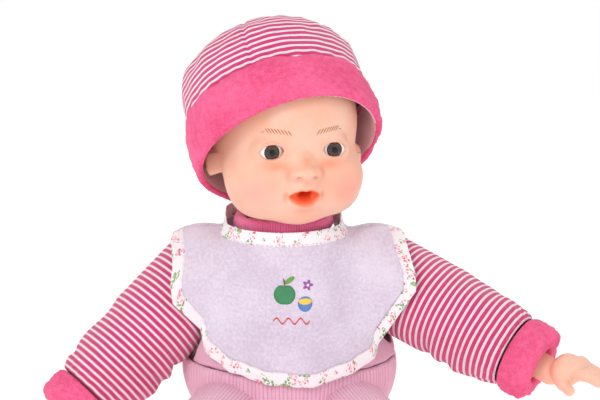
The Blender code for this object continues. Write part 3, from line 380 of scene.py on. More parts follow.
def vinyl(name="vinyl_skin", attribute=True, colour=(245, 196, 172)):
    f = Finish(name, Roughness=0.47, Specular_IOR_Level=0.4, Subsurface_Weight=0.22, Subsurface_Scale=0.004)
    f.shader.inputs["Subsurface Radius"].default_value = (1.0, 0.42, 0.25)
    where = f.add("TexCoord", pick=3)
    mottle = f.noise(where, 30, 3)
    grain = f.noise(where, 2600, 2)
    base = f.add("Attribute", attribute_name="tone") if attribute else f.mix(0.0, rgba(colour), rgba(colour))
    warm = f.mix(1.0, base, rgba((255, 240, 232)), "MULTIPLY")
    f.set(Base_Color=f.mix(f.ramp(mottle, 0.35, 0.65), base, warm),
          Roughness=f.ramp(f.noise(where, 90, 2), 0.3, 0.7, 0.42, 0.54),
          Normal=f.bump(grain, 0.00003, 0.35))
    return f.material


def eye_finish():
    """White of the eye, brown-grey iris with rays, and pupil, by the distance from the line of sight."""
    f = Finish("doll_eye", Roughness=0.3, Specular_IOR_Level=0.1, Coat_Weight=0.55, Coat_Roughness=0.03)
    uv = f.uv()
    away = f.add("VectorMath", {0: uv}, pick=1, operation="LENGTH")
    u, v, _ = f.parts(uv)
    turn = f.math("ARCTAN2", v, u)
    ring = f.add(
        "CombineXYZ", {0: f.math("COSINE", turn), 1: f.math("SINE", turn), 2: f.math("MULTIPLY", away, 0.8)}
    )
    rays = f.noise(ring, 9, 3, 0.7)
    iris = f.mix(f.ramp(rays, 0.35, 0.65), rgba((30, 20, 17)), rgba((100, 76, 66)))
    iris = f.mix(f.ramp(away, 0.20, 0.34, 0.6, 0.0), iris, rgba((44, 32, 30)))
    iris = f.mix(f.ramp(away, 0.43, 0.50), iris, rgba((40, 30, 32)))
    colour = f.mix(f.ramp(away, 0.185, 0.205, 1.0, 0.0), iris, rgba((8, 7, 8)))
    colour = f.mix(f.ramp(away, 0.500, 0.520), colour, rgba((240, 238, 242)))
    f.set(Base_Color=colour)
    return f.material


def plastic(name, colour, roughness=0.38):
    f = Finish(name, Roughness=roughness)
    where = f.add("TexCoord", pick=3)
    cloud = f.noise(where, 120, 3)
    f.set(Base_Color=f.mix(f.ramp(cloud, 0.3, 0.7), rgba([c * 0.96 for c in colour]), rgba(colour)),
          Roughness=f.ramp(f.noise(where, 500, 3), 0.3, 0.7, roughness - 0.05, roughness + 0.08),
          Normal=f.bump(f.noise(where, 1800, 2), 0.00003, 0.3))
    return f.material


def metal(name, colour, roughness):
    f = Finish(name, Metallic=1.0, Roughness=roughness)
    where = f.add("TexCoord", pick=3)
    scratch = f.noise(where, 900, 4, 0.7)
    f.set(Base_Color=f.mix(scratch, rgba([c * 0.85 for c in colour]), rgba(colour)),
          Roughness=f.ramp(scratch, 0.3, 0.7, roughness, roughness + 0.18))
    return f.material


# ---- pieces ------------------------------------------------------------------------------------
def mesh_of(name, verts, faces, uvs=None):
    mesh = bpy.data.meshes.new(name)
    mesh.from_pydata([tuple(v) for v in verts], [], [tuple(f) for f in faces])
    if uvs is not None:
        layer = mesh.uv_layers.new(name="metres")
        layer.data.foreach_set("uv", np.asarray(uvs, np.float32).ravel())
    mesh.shade_smooth()
    return mesh


def run_along(line):
    """How far along a line each of its points lies."""
    return np.concatenate([[0], np.cumsum(np.linalg.norm(np.diff(line, axis=0), axis=1))])


def grid_mesh(name, points, wrap=True, wrap_rows=False):
    """A quad mesh over rows x columns of points, with UV in metres."""
    rows, columns = points.shape[:2]
    row_list, column_list = (list(range(n if w else n - 1)) for n, w in ((rows, wrap_rows), (columns, wrap)))
    middle = points[rows // 2]
    u = run_along(np.vstack([middle, middle[:1]]) if wrap else middle)
    down = np.concatenate([points, points[:1]]) if wrap_rows else points
    v = np.concatenate([[0], np.cumsum(np.linalg.norm(np.diff(down, axis=0), axis=2).mean(axis=1))])
    faces, uvs = [], []
    for i in row_list:
        below = (i + 1) % rows
        for j in column_list:
            k = (j + 1) % columns
            faces.append((i * columns + j, below * columns + j, below * columns + k, i * columns + k))
            uvs += [(u[j], v[i]), (u[j], v[i + 1]), (u[j + 1], v[i + 1]), (u[j + 1], v[i])]
    return mesh_of(name, points.reshape(-1, 3), faces, uvs)


def shown(name, mesh, finish, place=None):
    obj = bpy.data.objects.new(name, mesh)
    bpy.context.scene.collection.objects.link(obj)
    if place is not None:
        mesh.transform(place)
    if finish is not None:
        mesh.materials.append(finish)
    return obj


def settle(obj):
    """Applies an object's modifiers."""
    bpy.context.view_layer.update()
    evaluated = obj.evaluated_get(bpy.context.evaluated_depsgraph_get())
    mesh = bpy.data.meshes.new_from_object(evaluated)
    obj.modifiers.clear()
    obj.data = mesh
    mesh.name = obj.name
    return obj


def thicken(obj, thickness, offset):
    modifier = obj.modifiers.new("cloth", "SOLIDIFY")
    modifier.thickness, modifier.offset, modifier.use_even_offset = thickness, offset, True
    return settle(obj)


def cut(obj, *cutters):
    for cutter in cutters:
        modifier = obj.modifiers.new("cut", "BOOLEAN")
        modifier.operation, modifier.solver, modifier.object = "DIFFERENCE", "EXACT", cutter
    settle(obj)
    for cutter in cutters:
        bpy.data.objects.remove(cutter)
    obj.data.shade_smooth()
    return obj


def edited(mesh, edit):
    """Applies edit(bm) to a mesh."""
    bm = bmesh.new()
    bm.from_mesh(mesh)
    edit(bm)
    bm.to_mesh(mesh)
    bm.free()
    return mesh


def fill_edges(bm):
    bmesh.ops.holes_fill(bm, edges=[edge for edge in bm.edges if edge.is_boundary])


def face_out(bm):
    bmesh.ops.recalc_face_normals(bm, faces=bm.faces)


def curve_through(points, count, closed=False):
    """Evenly spaced points of a smooth line through given ones."""
    p = np.array(points, float)
    n = len(p)
    if closed:
        idx = lambda i: p[i % n]
        spans = n
    else:
        idx = lambda i: p[min(max(i, 0), n - 1)]
        spans = n - 1
    fine = []
    for s in range(spans):
        a, b, c, d = idx(s - 1), idx(s), idx(s + 1), idx(s + 2)
        for t in np.linspace(0, 1, 12, endpoint=False):
            fine.append(
                0.5 * (
                    2 * b + (c - a) * t + (2 * a - 5 * b + 4 * c - d) * t * t
                    + (3 * b - a - 3 * c + d) * t ** 3
                )
            )
    fine.append(idx(spans) if closed else p[-1])
    fine = np.array(fine)
    run = run_along(fine)
    where = np.linspace(0, run[-1], count + 1)[:-1] if closed else np.linspace(0, run[-1], count)
    return np.stack([np.interp(where, run, fine[:, k]) for k in range(p.shape[1])], axis=1)


def turned_points(profile, columns, rows, closed=False, relief=None):
    """Points of a turned shape round Z; relief(angle, height, points) moves them out along the normal."""
    line = curve_through(profile, rows, closed)
    angle = np.arange(columns) * 2 * math.pi / columns
    r, z = line[:, 0][:, None], line[:, 1][:, None]
    points = np.stack([r * np.cos(angle), r * np.sin(angle), z + 0 * angle], axis=2)
    if relief is not None:
        if closed:
            ahead = np.roll(line, -1, axis=0) - np.roll(line, 1, axis=0)
        else:
            ahead = np.gradient(line, axis=0)
        ahead /= np.linalg.norm(ahead, axis=1)[:, None] + 1e-12
        out_r, out_z = ahead[:, 1][:, None], -ahead[:, 0][:, None]
        normal = np.stack([out_r * np.cos(angle), out_r * np.sin(angle), out_z + 0 * angle], axis=2)
        lift = relief(np.broadcast_to(angle, points.shape[:2]), points[..., 2], points)
        points = points + normal * lift[..., None]
    return points


def turn_out(mesh):
    """Faces outwards: from the middle of the mesh."""
    mesh.update()
    middle = sum((f.center for f in mesh.polygons), Vector()) / len(mesh.polygons)
    if sum(f.normal.dot(f.center - middle) * f.area for f in mesh.polygons) < 0:
        mesh.flip_normals()
    return mesh


def belongs(obj, body, slot, *nodes):
    if body:
        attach(obj, body)
    if nodes:
        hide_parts(*nodes)
    return obj


JERSEY = striped_jersey()
FLEECE = fleece("pink_fleece", (226, 62, 116), (250, 100, 150), (255, 152, 188))
# painted light: the lining's pale pink is lightened to stand in for light shining through the hat's knit
LINING = plain_jersey("pale_lining", (255, 196, 212), (255, 226, 234))
PALE = plain_jersey("pale_jersey", (240, 172, 200), (248, 198, 219))
RIBBED = plain_jersey("pale_rib", (241, 176, 203), (249, 202, 221), rib=0.0021)
COLLAR = plain_jersey("collar_rib", (255, 100, 160), (255, 130, 180), rib=0.0016)
TERRY, TAPE, EYES = terry(), flower_tape(), eye_finish()
SKIN = vinyl()
LIMB_SKIN = vinyl("vinyl_limb", attribute=False)


# ---- head --------------------------------------------------------------------------------------
def uneven(span, fine_low, fine_high, fine_step, coarse_step):
    """Samples over a span, close together between two values."""
    low, high = span
    parts = [np.linspace(low, fine_low, max(2, int((fine_low - low) / coarse_step)), endpoint=False),
             np.linspace(fine_low, fine_high, int((fine_high - fine_low) / fine_step), endpoint=False),
             np.linspace(fine_high, high, max(2, int((high - fine_high) / coarse_step)))]
    return np.concatenate(parts)


def lid_inside(x, z, sign):
    """How far inside the eyelids' opening a point of the face lies; negative outside."""
    u = (x - EYE.x * sign) / 0.0074 * sign
    dz = z - EYE.z
    room = np.clip(1 - np.abs(u) ** 2.3, 0, None)
    upper = 0.0047 * room ** 0.62 - 0.0003 * u
    lower = 0.0043 * room ** 0.72 + 0.0004 * u
    return np.minimum(upper - dz, dz + lower) - 0.004 * np.maximum(np.abs(u) - 1, 0), dz - upper, u


def lip_shape(x, z):
    """(how far inside the lips' outline, how far inside the open mouth), both negative outside."""
    a = np.abs(x) / 0.0102
    room = np.clip(1 - a ** 2.0, 0, None)
    top = 0.0052 * room ** 0.8 - 0.0010 * np.exp(-((x / 0.0016) ** 2)) * (a < 1)
    low = 0.0060 * room ** 0.72
    dz = z - MOUTH_Z - 0.0004
    lips = np.minimum(top - dz, dz + low) - 0.006 * np.maximum(a - 1, 0)
    hole = 0.0033 - np.sqrt((x / 1.35) ** 2 + ((z - MOUTH_Z - 0.0002) * 1.12) ** 2)
    return lips, hole


def head():
    turn = np.radians(uneven((-180, 180), -46, 46, 0.52, 4.0)[:-1])
    rise = np.radians(uneven((-89.5, 89.5), -50, 22, 0.52, 3.2))
    a, e = np.meshgrid(turn, rise)
    ways = np.stack([np.sin(a) * np.cos(e), -np.cos(a) * np.cos(e), np.sin(e)], axis=2)
    far = reach(head_form, (0, 0, 0), ways.reshape(-1, 3), 0.075, 64, 16).reshape(a.shape)
    points = ways * far[..., None]
    x, y, z = points[..., 0], points[..., 1], points[..., 2]
    front = smooth(-y, 0.012, 0.022)
    depth = np.zeros_like(far)
    for sign in (1, -1):
        inside, above, u = lid_inside(x, z, sign)
        depth += 0.0060 * smooth(inside, -0.0001, 0.0007)
        near = smooth(1.25 - np.abs(u), 0.0, 0.6)
        depth += 0.00045 * np.exp(-(((above - 0.0022) / 0.0006) ** 2)) * near
        depth -= 0.00030 * np.exp(-(((inside + 0.0008) / 0.0007) ** 2)) * smooth(1.12 - np.abs(u), 0.0, 0.3)
        nostril = np.sqrt(((x - 0.0050 * sign) / 0.0015) ** 2 + ((z + 0.0170) / 0.0009) ** 2)
        depth += 0.0013 * smooth(1.5 - nostril, 0, 1.1)
        dimple = np.sqrt(((x - 0.0118 * sign) / 0.0013) ** 2 + ((z - MOUTH_Z - 0.0002) / 0.0022) ** 2)
        depth += 0.0008 * smooth(1.6 - dimple, 0, 1.3)
    lips, hole = lip_shape(x, z)
    depth += 0.0016 * smooth(lips, -0.0002, 0.0030) - 0.0007 * np.exp(
        -(((lips + 0.0002) / 0.0009) ** 2)
    ) * smooth(0.0112 - np.abs(x), 0.0, 0.003)
    depth += 0.0085 * smooth(hole, -0.0004, 0.0018)
    depth += 0.0006 * np.exp(-(((x) / 0.0068) ** 2) - (((z + 0.0385) / 0.0010) ** 2))
    depth += 0.0005 * np.exp(-((x / 0.0014) ** 2) - (((z + 0.0212) / 0.0028) ** 2))
    points = points - ways * (depth * front)[..., None]

    tone = np.ones((*far.shape, 4))
    tone[..., :3] = linear((245, 197, 174))

    def wash(colour, mask):
        mask = np.clip(mask * front, 0, 1)[..., None]
        tone[..., :3] = tone[..., :3] * (1 - mask) + linear(colour) * mask

    def spot(cx, cz, rx, rz):
        return np.exp(-(((x - cx) / rx) ** 2) - ((z - cz) / rz) ** 2)

    for sign in (1, -1):
        wash((236, 146, 106), 0.62 * spot(0.0165 * sign, -0.0104, 0.0085, 0.0030))
        wash((240, 158, 122), 0.30 * spot(0.0125 * sign, -0.0010, 0.0030, 0.0055))
        # painted shade in the creases beside the nose wings
        wash((238, 150, 116), 0.50 * spot(0.0112 * sign, -0.0150, 0.0016, 0.0034))
        wash((246, 160, 152), 0.50 * spot(0.0300 * sign, -0.0270, 0.0115, 0.0095))
        # painted shade in the dimples at the mouth's corners
        wash((232, 140, 104), 0.55 * spot(0.0118 * sign, MOUTH_Z, 0.0014, 0.0030))
        # painted shade in the nostrils
        wash((225, 140, 108), 0.50 * spot(0.0050 * sign, -0.0176, 0.0022, 0.0011))
        inside, above, u = lid_inside(x, z, sign)
        # painted shade along the rim of the eyelids' opening
        wash((214, 140, 112), 0.45 * np.exp(-(((inside) / 0.0006) ** 2)) * smooth(1.1 - np.abs(u), 0.0, 0.2))
        # painted shade: dark brown skin deep in the eye sockets round the eyeballs
        wash((150, 110, 100), 0.75 * smooth(inside, 0.0003, 0.0008))
    wash((234, 142, 104), 0.55 * spot(0.0, -0.0068, 0.0040, 0.0030))
    # painted shade in the crease under the lower lip
    wash((238, 156, 124), 0.35 * spot(0.0, -0.0392, 0.0070, 0.0012))
    # painted shade in the groove above the upper lip
    wash((240, 158, 128), 0.35 * spot(0.0, -0.0222, 0.0022, 0.0022))
    wash((248, 150, 118), smooth(lips, -0.0010, 0.0006))
    wash((246, 98, 52), smooth(lips, 0.0004, 0.0020))
    wash((226, 62, 30), 0.8 * smooth(hole, -0.0018, 0.0008))
    # painted shade: the mouth's hole darkens to brown deep inside
    wash((120, 40, 28), 0.8 * smooth(hole, 0.0008, 0.0024))

    mesh = grid_mesh("head_skin", points)
    layer = mesh.color_attributes.new("tone", "FLOAT_COLOR", "POINT")
    layer.data.foreach_set("color", tone.reshape(-1).astype(np.float32))
    turn_out(edited(mesh, fill_edges))
    skin = shown("head_skin", mesh, SKIN, HEAD_PLACE)
    belongs(skin, "head", "vinyl_skin", "head_shell")

    for side, sign in SIDES.items():
        rings, sectors = 40, 64
        lift = np.linspace(0.002, math.pi - 0.002, rings)[:, None]
        round_ = np.arange(sectors) * 2 * math.pi / sectors
        ball = np.stack(
            [np.sin(lift) * np.cos(round_), -np.cos(lift) + 0 * round_, np.sin(lift) * np.sin(round_)], axis=2
        )
        ball = ball.reshape(-1, 3)
        bulge = 1 + 0.035 * np.exp(-((ball[:, 0] ** 2 + ball[:, 2] ** 2) / 0.16)) * (ball[:, 1] < 0)
        faces, uvs = [], []
        for i in range(rings - 1):
            for j in range(sectors):
                k = (j + 1) % sectors
                face = (i * sectors + j, i * sectors + k, (i + 1) * sectors + k, (i + 1) * sectors + j)
                faces.append(face)
                uvs += [(ball[c][0], ball[c][2]) if ball[c][1] < 0 else (2, 0) for c in face]
        faces.append(tuple(range(sectors - 1, -1, -1)))
        uvs += [(0, 0)] * sectors
        mesh = mesh_of("eye_ball_" + side, ball * bulge[:, None] * EYE_RADIUS, faces, uvs)
        turn_out(mesh)
        eye = shown(
            "eye_ball_" + side, mesh, EYES,
            HEAD_PLACE @ Matrix.Translation(mirrored(EYE, sign)) @ Matrix.Rotation(
                math.radians(1.5) * -sign, 4, "Z"
            )
        )
        belongs(eye, "head", "eye", "eye_" + side)

    brow = Finish("brow_paint", Roughness=0.5)
    brow.set(
        Base_Color=brow.mix(
            brow.noise(brow.add("TexCoord", pick=3), 900, 2), rgba((158, 90, 46)), rgba((184, 112, 62))
        )
    )
    for side, sign in SIDES.items():
        strokes = [((0.0312, 0.0120), (0.0276, 0.0121))]
        for i in range(8):
            t = i / 7
            foot = (0.0240 - 0.0158 * t, 0.0106 - 0.0026 * t ** 1.4)
            strokes.append(((foot[0] + 0.0034 - 0.0010 * t, foot[1] + 0.0040 - 0.0004 * t), foot))
        verts, faces = [], []
        for (x0, z0), (x1, z1) in strokes:
            t = np.linspace(0, 1, 8)
            line = np.stack([x0 + (x1 - x0) * t, z0 + (z1 - z0) * t + 0.0003 * np.sin(t * math.pi)], axis=1)
            across = np.array([-(z1 - z0), x1 - x0]) / math.hypot(x1 - x0, z1 - z0)
            wide = 0.00026 * np.sin(np.clip(t * 0.9 + 0.08, 0, 1) * math.pi) ** 0.6
            start = len(verts)
            for edge in (-1, 1):
                flat = line + across * (wide * edge)[:, None]
                way = np.stack([flat[:, 0] * sign, np.full(8, -0.0455), flat[:, 1]], axis=1)
                way /= np.linalg.norm(way, axis=1)[:, None]
                out = reach(head_form, (0, 0, 0), way, 0.075, 64, 16)
                verts += list(way * (out + 0.00012)[:, None])
            for k in range(7):
                quad = (start + k, start + k + 1, start + 8 + k + 1, start + 8 + k)
                faces.append(quad if sign < 0 else quad[::-1])
        mesh = mesh_of("brow_" + side, verts, faces)
        belongs(
            thicken(shown("brow_" + side, mesh, brow.material, HEAD_PLACE), 0.00008, 0), "head", "vinyl_skin"
        )


# ---- hat ---------------------------------------------------------------------------------------
def hat():
    cuff = [
        (0.0563, -0.0105), (0.0585, -0.0122), (0.0606, -0.0108), (0.0618, -0.0030), (0.0622, 0.0060),
        (0.0614, 0.0150), (0.0596, 0.0208), (0.0576, 0.0216), (0.0568, 0.0170), (0.0564, 0.0040)
    ]

    def lumps(angle, height, points):
        wave = 0.00055 * ripple(points, 0.030, 3) + 0.00022 * ripple(points, 0.008, 4)
        pile = 0.00011 * ripple(points, 0.0022, 5)
        outer = smooth(np.hypot(points[..., 0], points[..., 1]), 0.0572, 0.0590)
        return (wave * 0.9 + 0.0002) * outer + pile

    points = turned_points(cuff, 300, 90, True, lumps)
    turn = np.arctan2(points[..., 1], points[..., 0])
    points[..., 2] += 0.0040 * np.exp(
        -(((turn + math.radians(62)) / 0.85) ** 2)
    ) * smooth(0.012 - points[..., 2], 0.0, 0.022)
    mesh = turn_out(grid_mesh("hat_cuff_fleece", points, wrap_rows=True))
    band = shown("hat_cuff_fleece", mesh, FLEECE)
    mesh.materials.append(LINING)
    for face in mesh.polygons:
        c = face.center
        if math.hypot(c.x, c.y) < 0.0578 and -0.0105 < c.z < 0.0210:
            face.material_index = 1
    mesh.transform(HAT_PLACE)
    belongs(band, "hat", "pink_fleece", "hat_cuff")

    crown = [
        (0.0572, 0.0150), (0.0578, 0.0220), (0.0582, 0.0300), (0.0576, 0.0400), (0.0552, 0.0500),
        (0.0500, 0.0585), (0.0420, 0.0645), (0.0300, 0.0682), (0.0150, 0.0698), (0.0004, 0.0700)
    ]

    def folds(angle, height, points):
        away = lambda at: (angle - math.radians(at) + math.pi) % (2 * math.pi) - math.pi
        seam = sum(
            -0.0011 * np.exp(
                -((away(at) * np.maximum(np.hypot(points[..., 0], points[..., 1]), 0.004) / 0.0011) ** 2)
            )
            for at in (248, 68)
        )
        gather = 0.0005 * np.sin(
            angle * 34 + 2 * np.sin(angle * 3)
        ) * np.exp(-((height - 0.0215) / 0.006) ** 2)
        top = smooth(height, 0.035, 0.060)
        return seam * smooth(height, 0.016, 0.026) + gather + (
            0.0009 * ripple(points, 0.045, 7) + 0.0004 * ripple(points, 0.015, 8)
        ) * (0.35 + 0.65 * top)

    points = turned_points(crown, 240, 110, False, folds)
    mesh = turn_out(grid_mesh("hat_crown_knit", points))
    obj = shown("hat_crown_knit", mesh, JERSEY, HAT_PLACE)
    thicken(obj, HAT_CLOTH, -1)
    belongs(obj, "hat", "striped_jersey", "hat_crown")


# ---- torso -------------------------------------------------------------------------------------
def torso():
    def shell(name, heights, finish, pull, slot, node, cutters, close=False):
        columns = 200
        angle = np.arange(columns) * 2 * math.pi / columns
        ways = np.stack([np.cos(angle), np.sin(angle), np.zeros(columns)], axis=1)
        rows = []
        for height in heights:
            out = reach(torso_form, (0, -0.002, height), ways)
            ring = (0, -0.002, height) + ways * (out + pull(angle, height))[:, None]
            rows.append(ring)
        points = np.array(rows)
        mesh = grid_mesh(name, points)
        if close:
            edited(mesh, lambda bm: bmesh.ops.holes_fill(bm, edges=sorted(
                (e for e in bm.edges if e.is_boundary), key=lambda e: e.verts[0].co.z)[:columns]))
        obj = thicken(shown(name, turn_out(mesh), finish), ROMPER_CLOTH, -1)
        cut(obj, *cutters)
        belongs(obj, "torso", slot, node)
        return obj

    def armholes():
        made = []
        for side, sign in SIDES.items():
            pivot = mirrored(SHOULDER, sign)
            bm = bmesh.new()
            ball = bmesh.new()
            bmesh.ops.create_uvsphere(ball, u_segments=40, v_segments=24, radius=ARM_BALL + 0.0006)
            for centre in [pivot] + [pivot + d * 0.08 for d in arm_directions(side, (-8, 0, 6))]:
                for vert in ball.verts:
                    bm.verts.new(vert.co + centre)
            ball.free()
            bmesh.ops.convex_hull(bm, input=bm.verts)
            bmesh.ops.delete(bm, geom=[v for v in bm.verts if not v.link_faces], context="VERTS")
            mesh = bpy.data.meshes.new("armhole")
            bm.to_mesh(mesh)
            bm.free()
            made.append(shown("armhole_" + side, mesh, None))
        return made

    def leg_rooms():
        made = []
        for side, sign in SIDES.items():
            hip = mirrored(HIP, sign)
            room = HIP_BALL + HIP_ROOM
            bm = bmesh.new()
            bmesh.ops.create_uvsphere(bm, u_segments=48, v_segments=32, radius=room)
            bmesh.ops.translate(bm, vec=hip, verts=bm.verts)
            mesh = bpy.data.meshes.new("hip_room")
            bm.to_mesh(mesh)
            bm.free()
            made.append(shown("hip_room_" + side, mesh, None))
            outward = LEG_DIRECTIONS[side].normalized()
            plan = Matrix.Translation(hip) @ along((0, 0, 0), Vector((outward.x, outward.y, 0)))
            wide = room + HIP_ROOM_EDGE
            sector = [(-0.07, -wide), (-0.07, 0.16), (wide, 0.16), (wide, 0.0), (0.0, -wide)]
            verts = [(x, y, z) for y in (-wide, wide) for x, z in sector]
            faces = [(0, 1, 2, 3, 4), (9, 8, 7, 6, 5)] + [
                (i, 5 + i, 5 + (i + 1) % 5, (i + 1) % 5) for i in range(5)
            ]
            mesh = edited(mesh_of("leg_room", verts, faces), face_out)
            made.append(shown("leg_room_" + side, mesh, None, plan))
        return made

    def bodice_pull(angle, height):
        seam = -0.0010 * np.exp(-((height - YOKE_Z) / 0.0012) ** 2)
        hem = -0.0008 * smooth(height, CHEST_TOP_Z - 0.002, CHEST_TOP_Z)
        return seam + hem + 0.0003 * np.sin(
            angle * 22 + 3 * np.sin(angle * 2)
        ) * math.exp(-((height - YOKE_Z) / 0.010) ** 2)

    def seat_pull(angle, height):
        seam = -0.0010 * np.exp(-((height - YOKE_Z) / 0.0012) ** 2)
        gather = 0.0006 * np.sin(angle * 26 + 2 * np.sin(angle * 3)) * smooth(height, 0.02, 0.055)
        return seam + gather * (1 - math.exp(-((height - YOKE_Z) / 0.0015) ** 2))

    flap = shown(
        "flap_room",
        mesh_of(
            "flap_room",
            [(x, y, z) for x in (-0.0275, 0.0275) for y in (0.02, 0.10) for z in (YOKE_Z + 0.006, 0.1105)],
            [(0, 1, 3, 2), (4, 6, 7, 5), (0, 4, 5, 1), (2, 3, 7, 6), (0, 2, 6, 4), (1, 5, 7, 3)]
        ),
        None
    )
    edited(flap.data, face_out)
    shell(
        "bodice_knit", np.linspace(CHEST_TOP_Z, YOKE_Z + 0.0003, 52), PALE, bodice_pull, "pale_jersey",
        "romper_bodice", armholes() + [flap]
    )
    heights = [YOKE_Z - 0.0003 - (YOKE_Z - 0.0003) * math.sin(math.pi / 2 * i / 44) for i in range(45)]
    shell("seat_knit", heights, RIBBED, seat_pull, "pale_jersey", "romper_seat", leg_rooms(), close=True)

    ring = [
        (0.0256, 0.1415), (0.0246, 0.1475), (0.0256, 0.1502), (0.0284, 0.1512), (0.0308, 0.1504),
        (0.0322, 0.1476), (0.0320, 0.1440), (0.0300, 0.1416)
    ]
    points = turned_points(ring, 160, 40, True, lambda a, h, p: 0.00025 * ripple(p, 0.012, 21))
    points[..., 2] += 0.0006 * np.sin(
        np.arange(160) * 2 * math.pi / 160 * 3 + 1
    )[None, :] * smooth(points[..., 2], 0.146, 0.151)
    collar = shown(
        "collar_knit", turn_out(grid_mesh("collar_knit", points, wrap_rows=True)), COLLAR,
        Matrix.Translation(NECK)
    )
    belongs(collar, "neck", "pink_fleece", "collar_band")


def flap():
    xs, zs = np.linspace(-0.034, 0.034, 61), np.linspace(YOKE_Z + 0.001, 0.1155, 51)
    x, z = np.meshgrid(xs, zs)
    start = np.stack([x.ravel(), np.zeros(x.size), z.ravel()], axis=1)
    depth = np.linspace(0.07, 0.02, 260)
    y = np.full(x.size, 0.02)
    for at in depth:
        inside = torso_form(start + np.array((0, at, 0))) < 0
        y = np.where(inside & (y < 0.0201), at, y)
    for _ in range(14):
        step = torso_form(start + np.stack([0 * y, y, 0 * y], axis=1))
        y = y - step
    points = np.stack([x, y.reshape(x.shape) + 0.0013, z], axis=2)
    points[..., 1] += 0.0004 * np.clip(ripple(points, 0.02, 31), 0, 2)
    mesh = grid_mesh("back_flap_knit", points, wrap=False)
    mesh.update()
    if mesh.polygons[0].normal.y < 0:
        mesh.flip_normals()
    obj = thicken(shown("back_flap_knit", mesh, PALE), FLAP_CLOTH, 1)
    belongs(obj, "back_flap", "pale_jersey", "back_flap")


# ---- bib ---------------------------------------------------------------------------------------
def neckline_rise(degrees):
    away = abs((degrees + 180) % 360 - 180)
    up, down = smooth(away, 70, 94), smooth(away, 112, 140)
    return 0.0080 * (up - down)


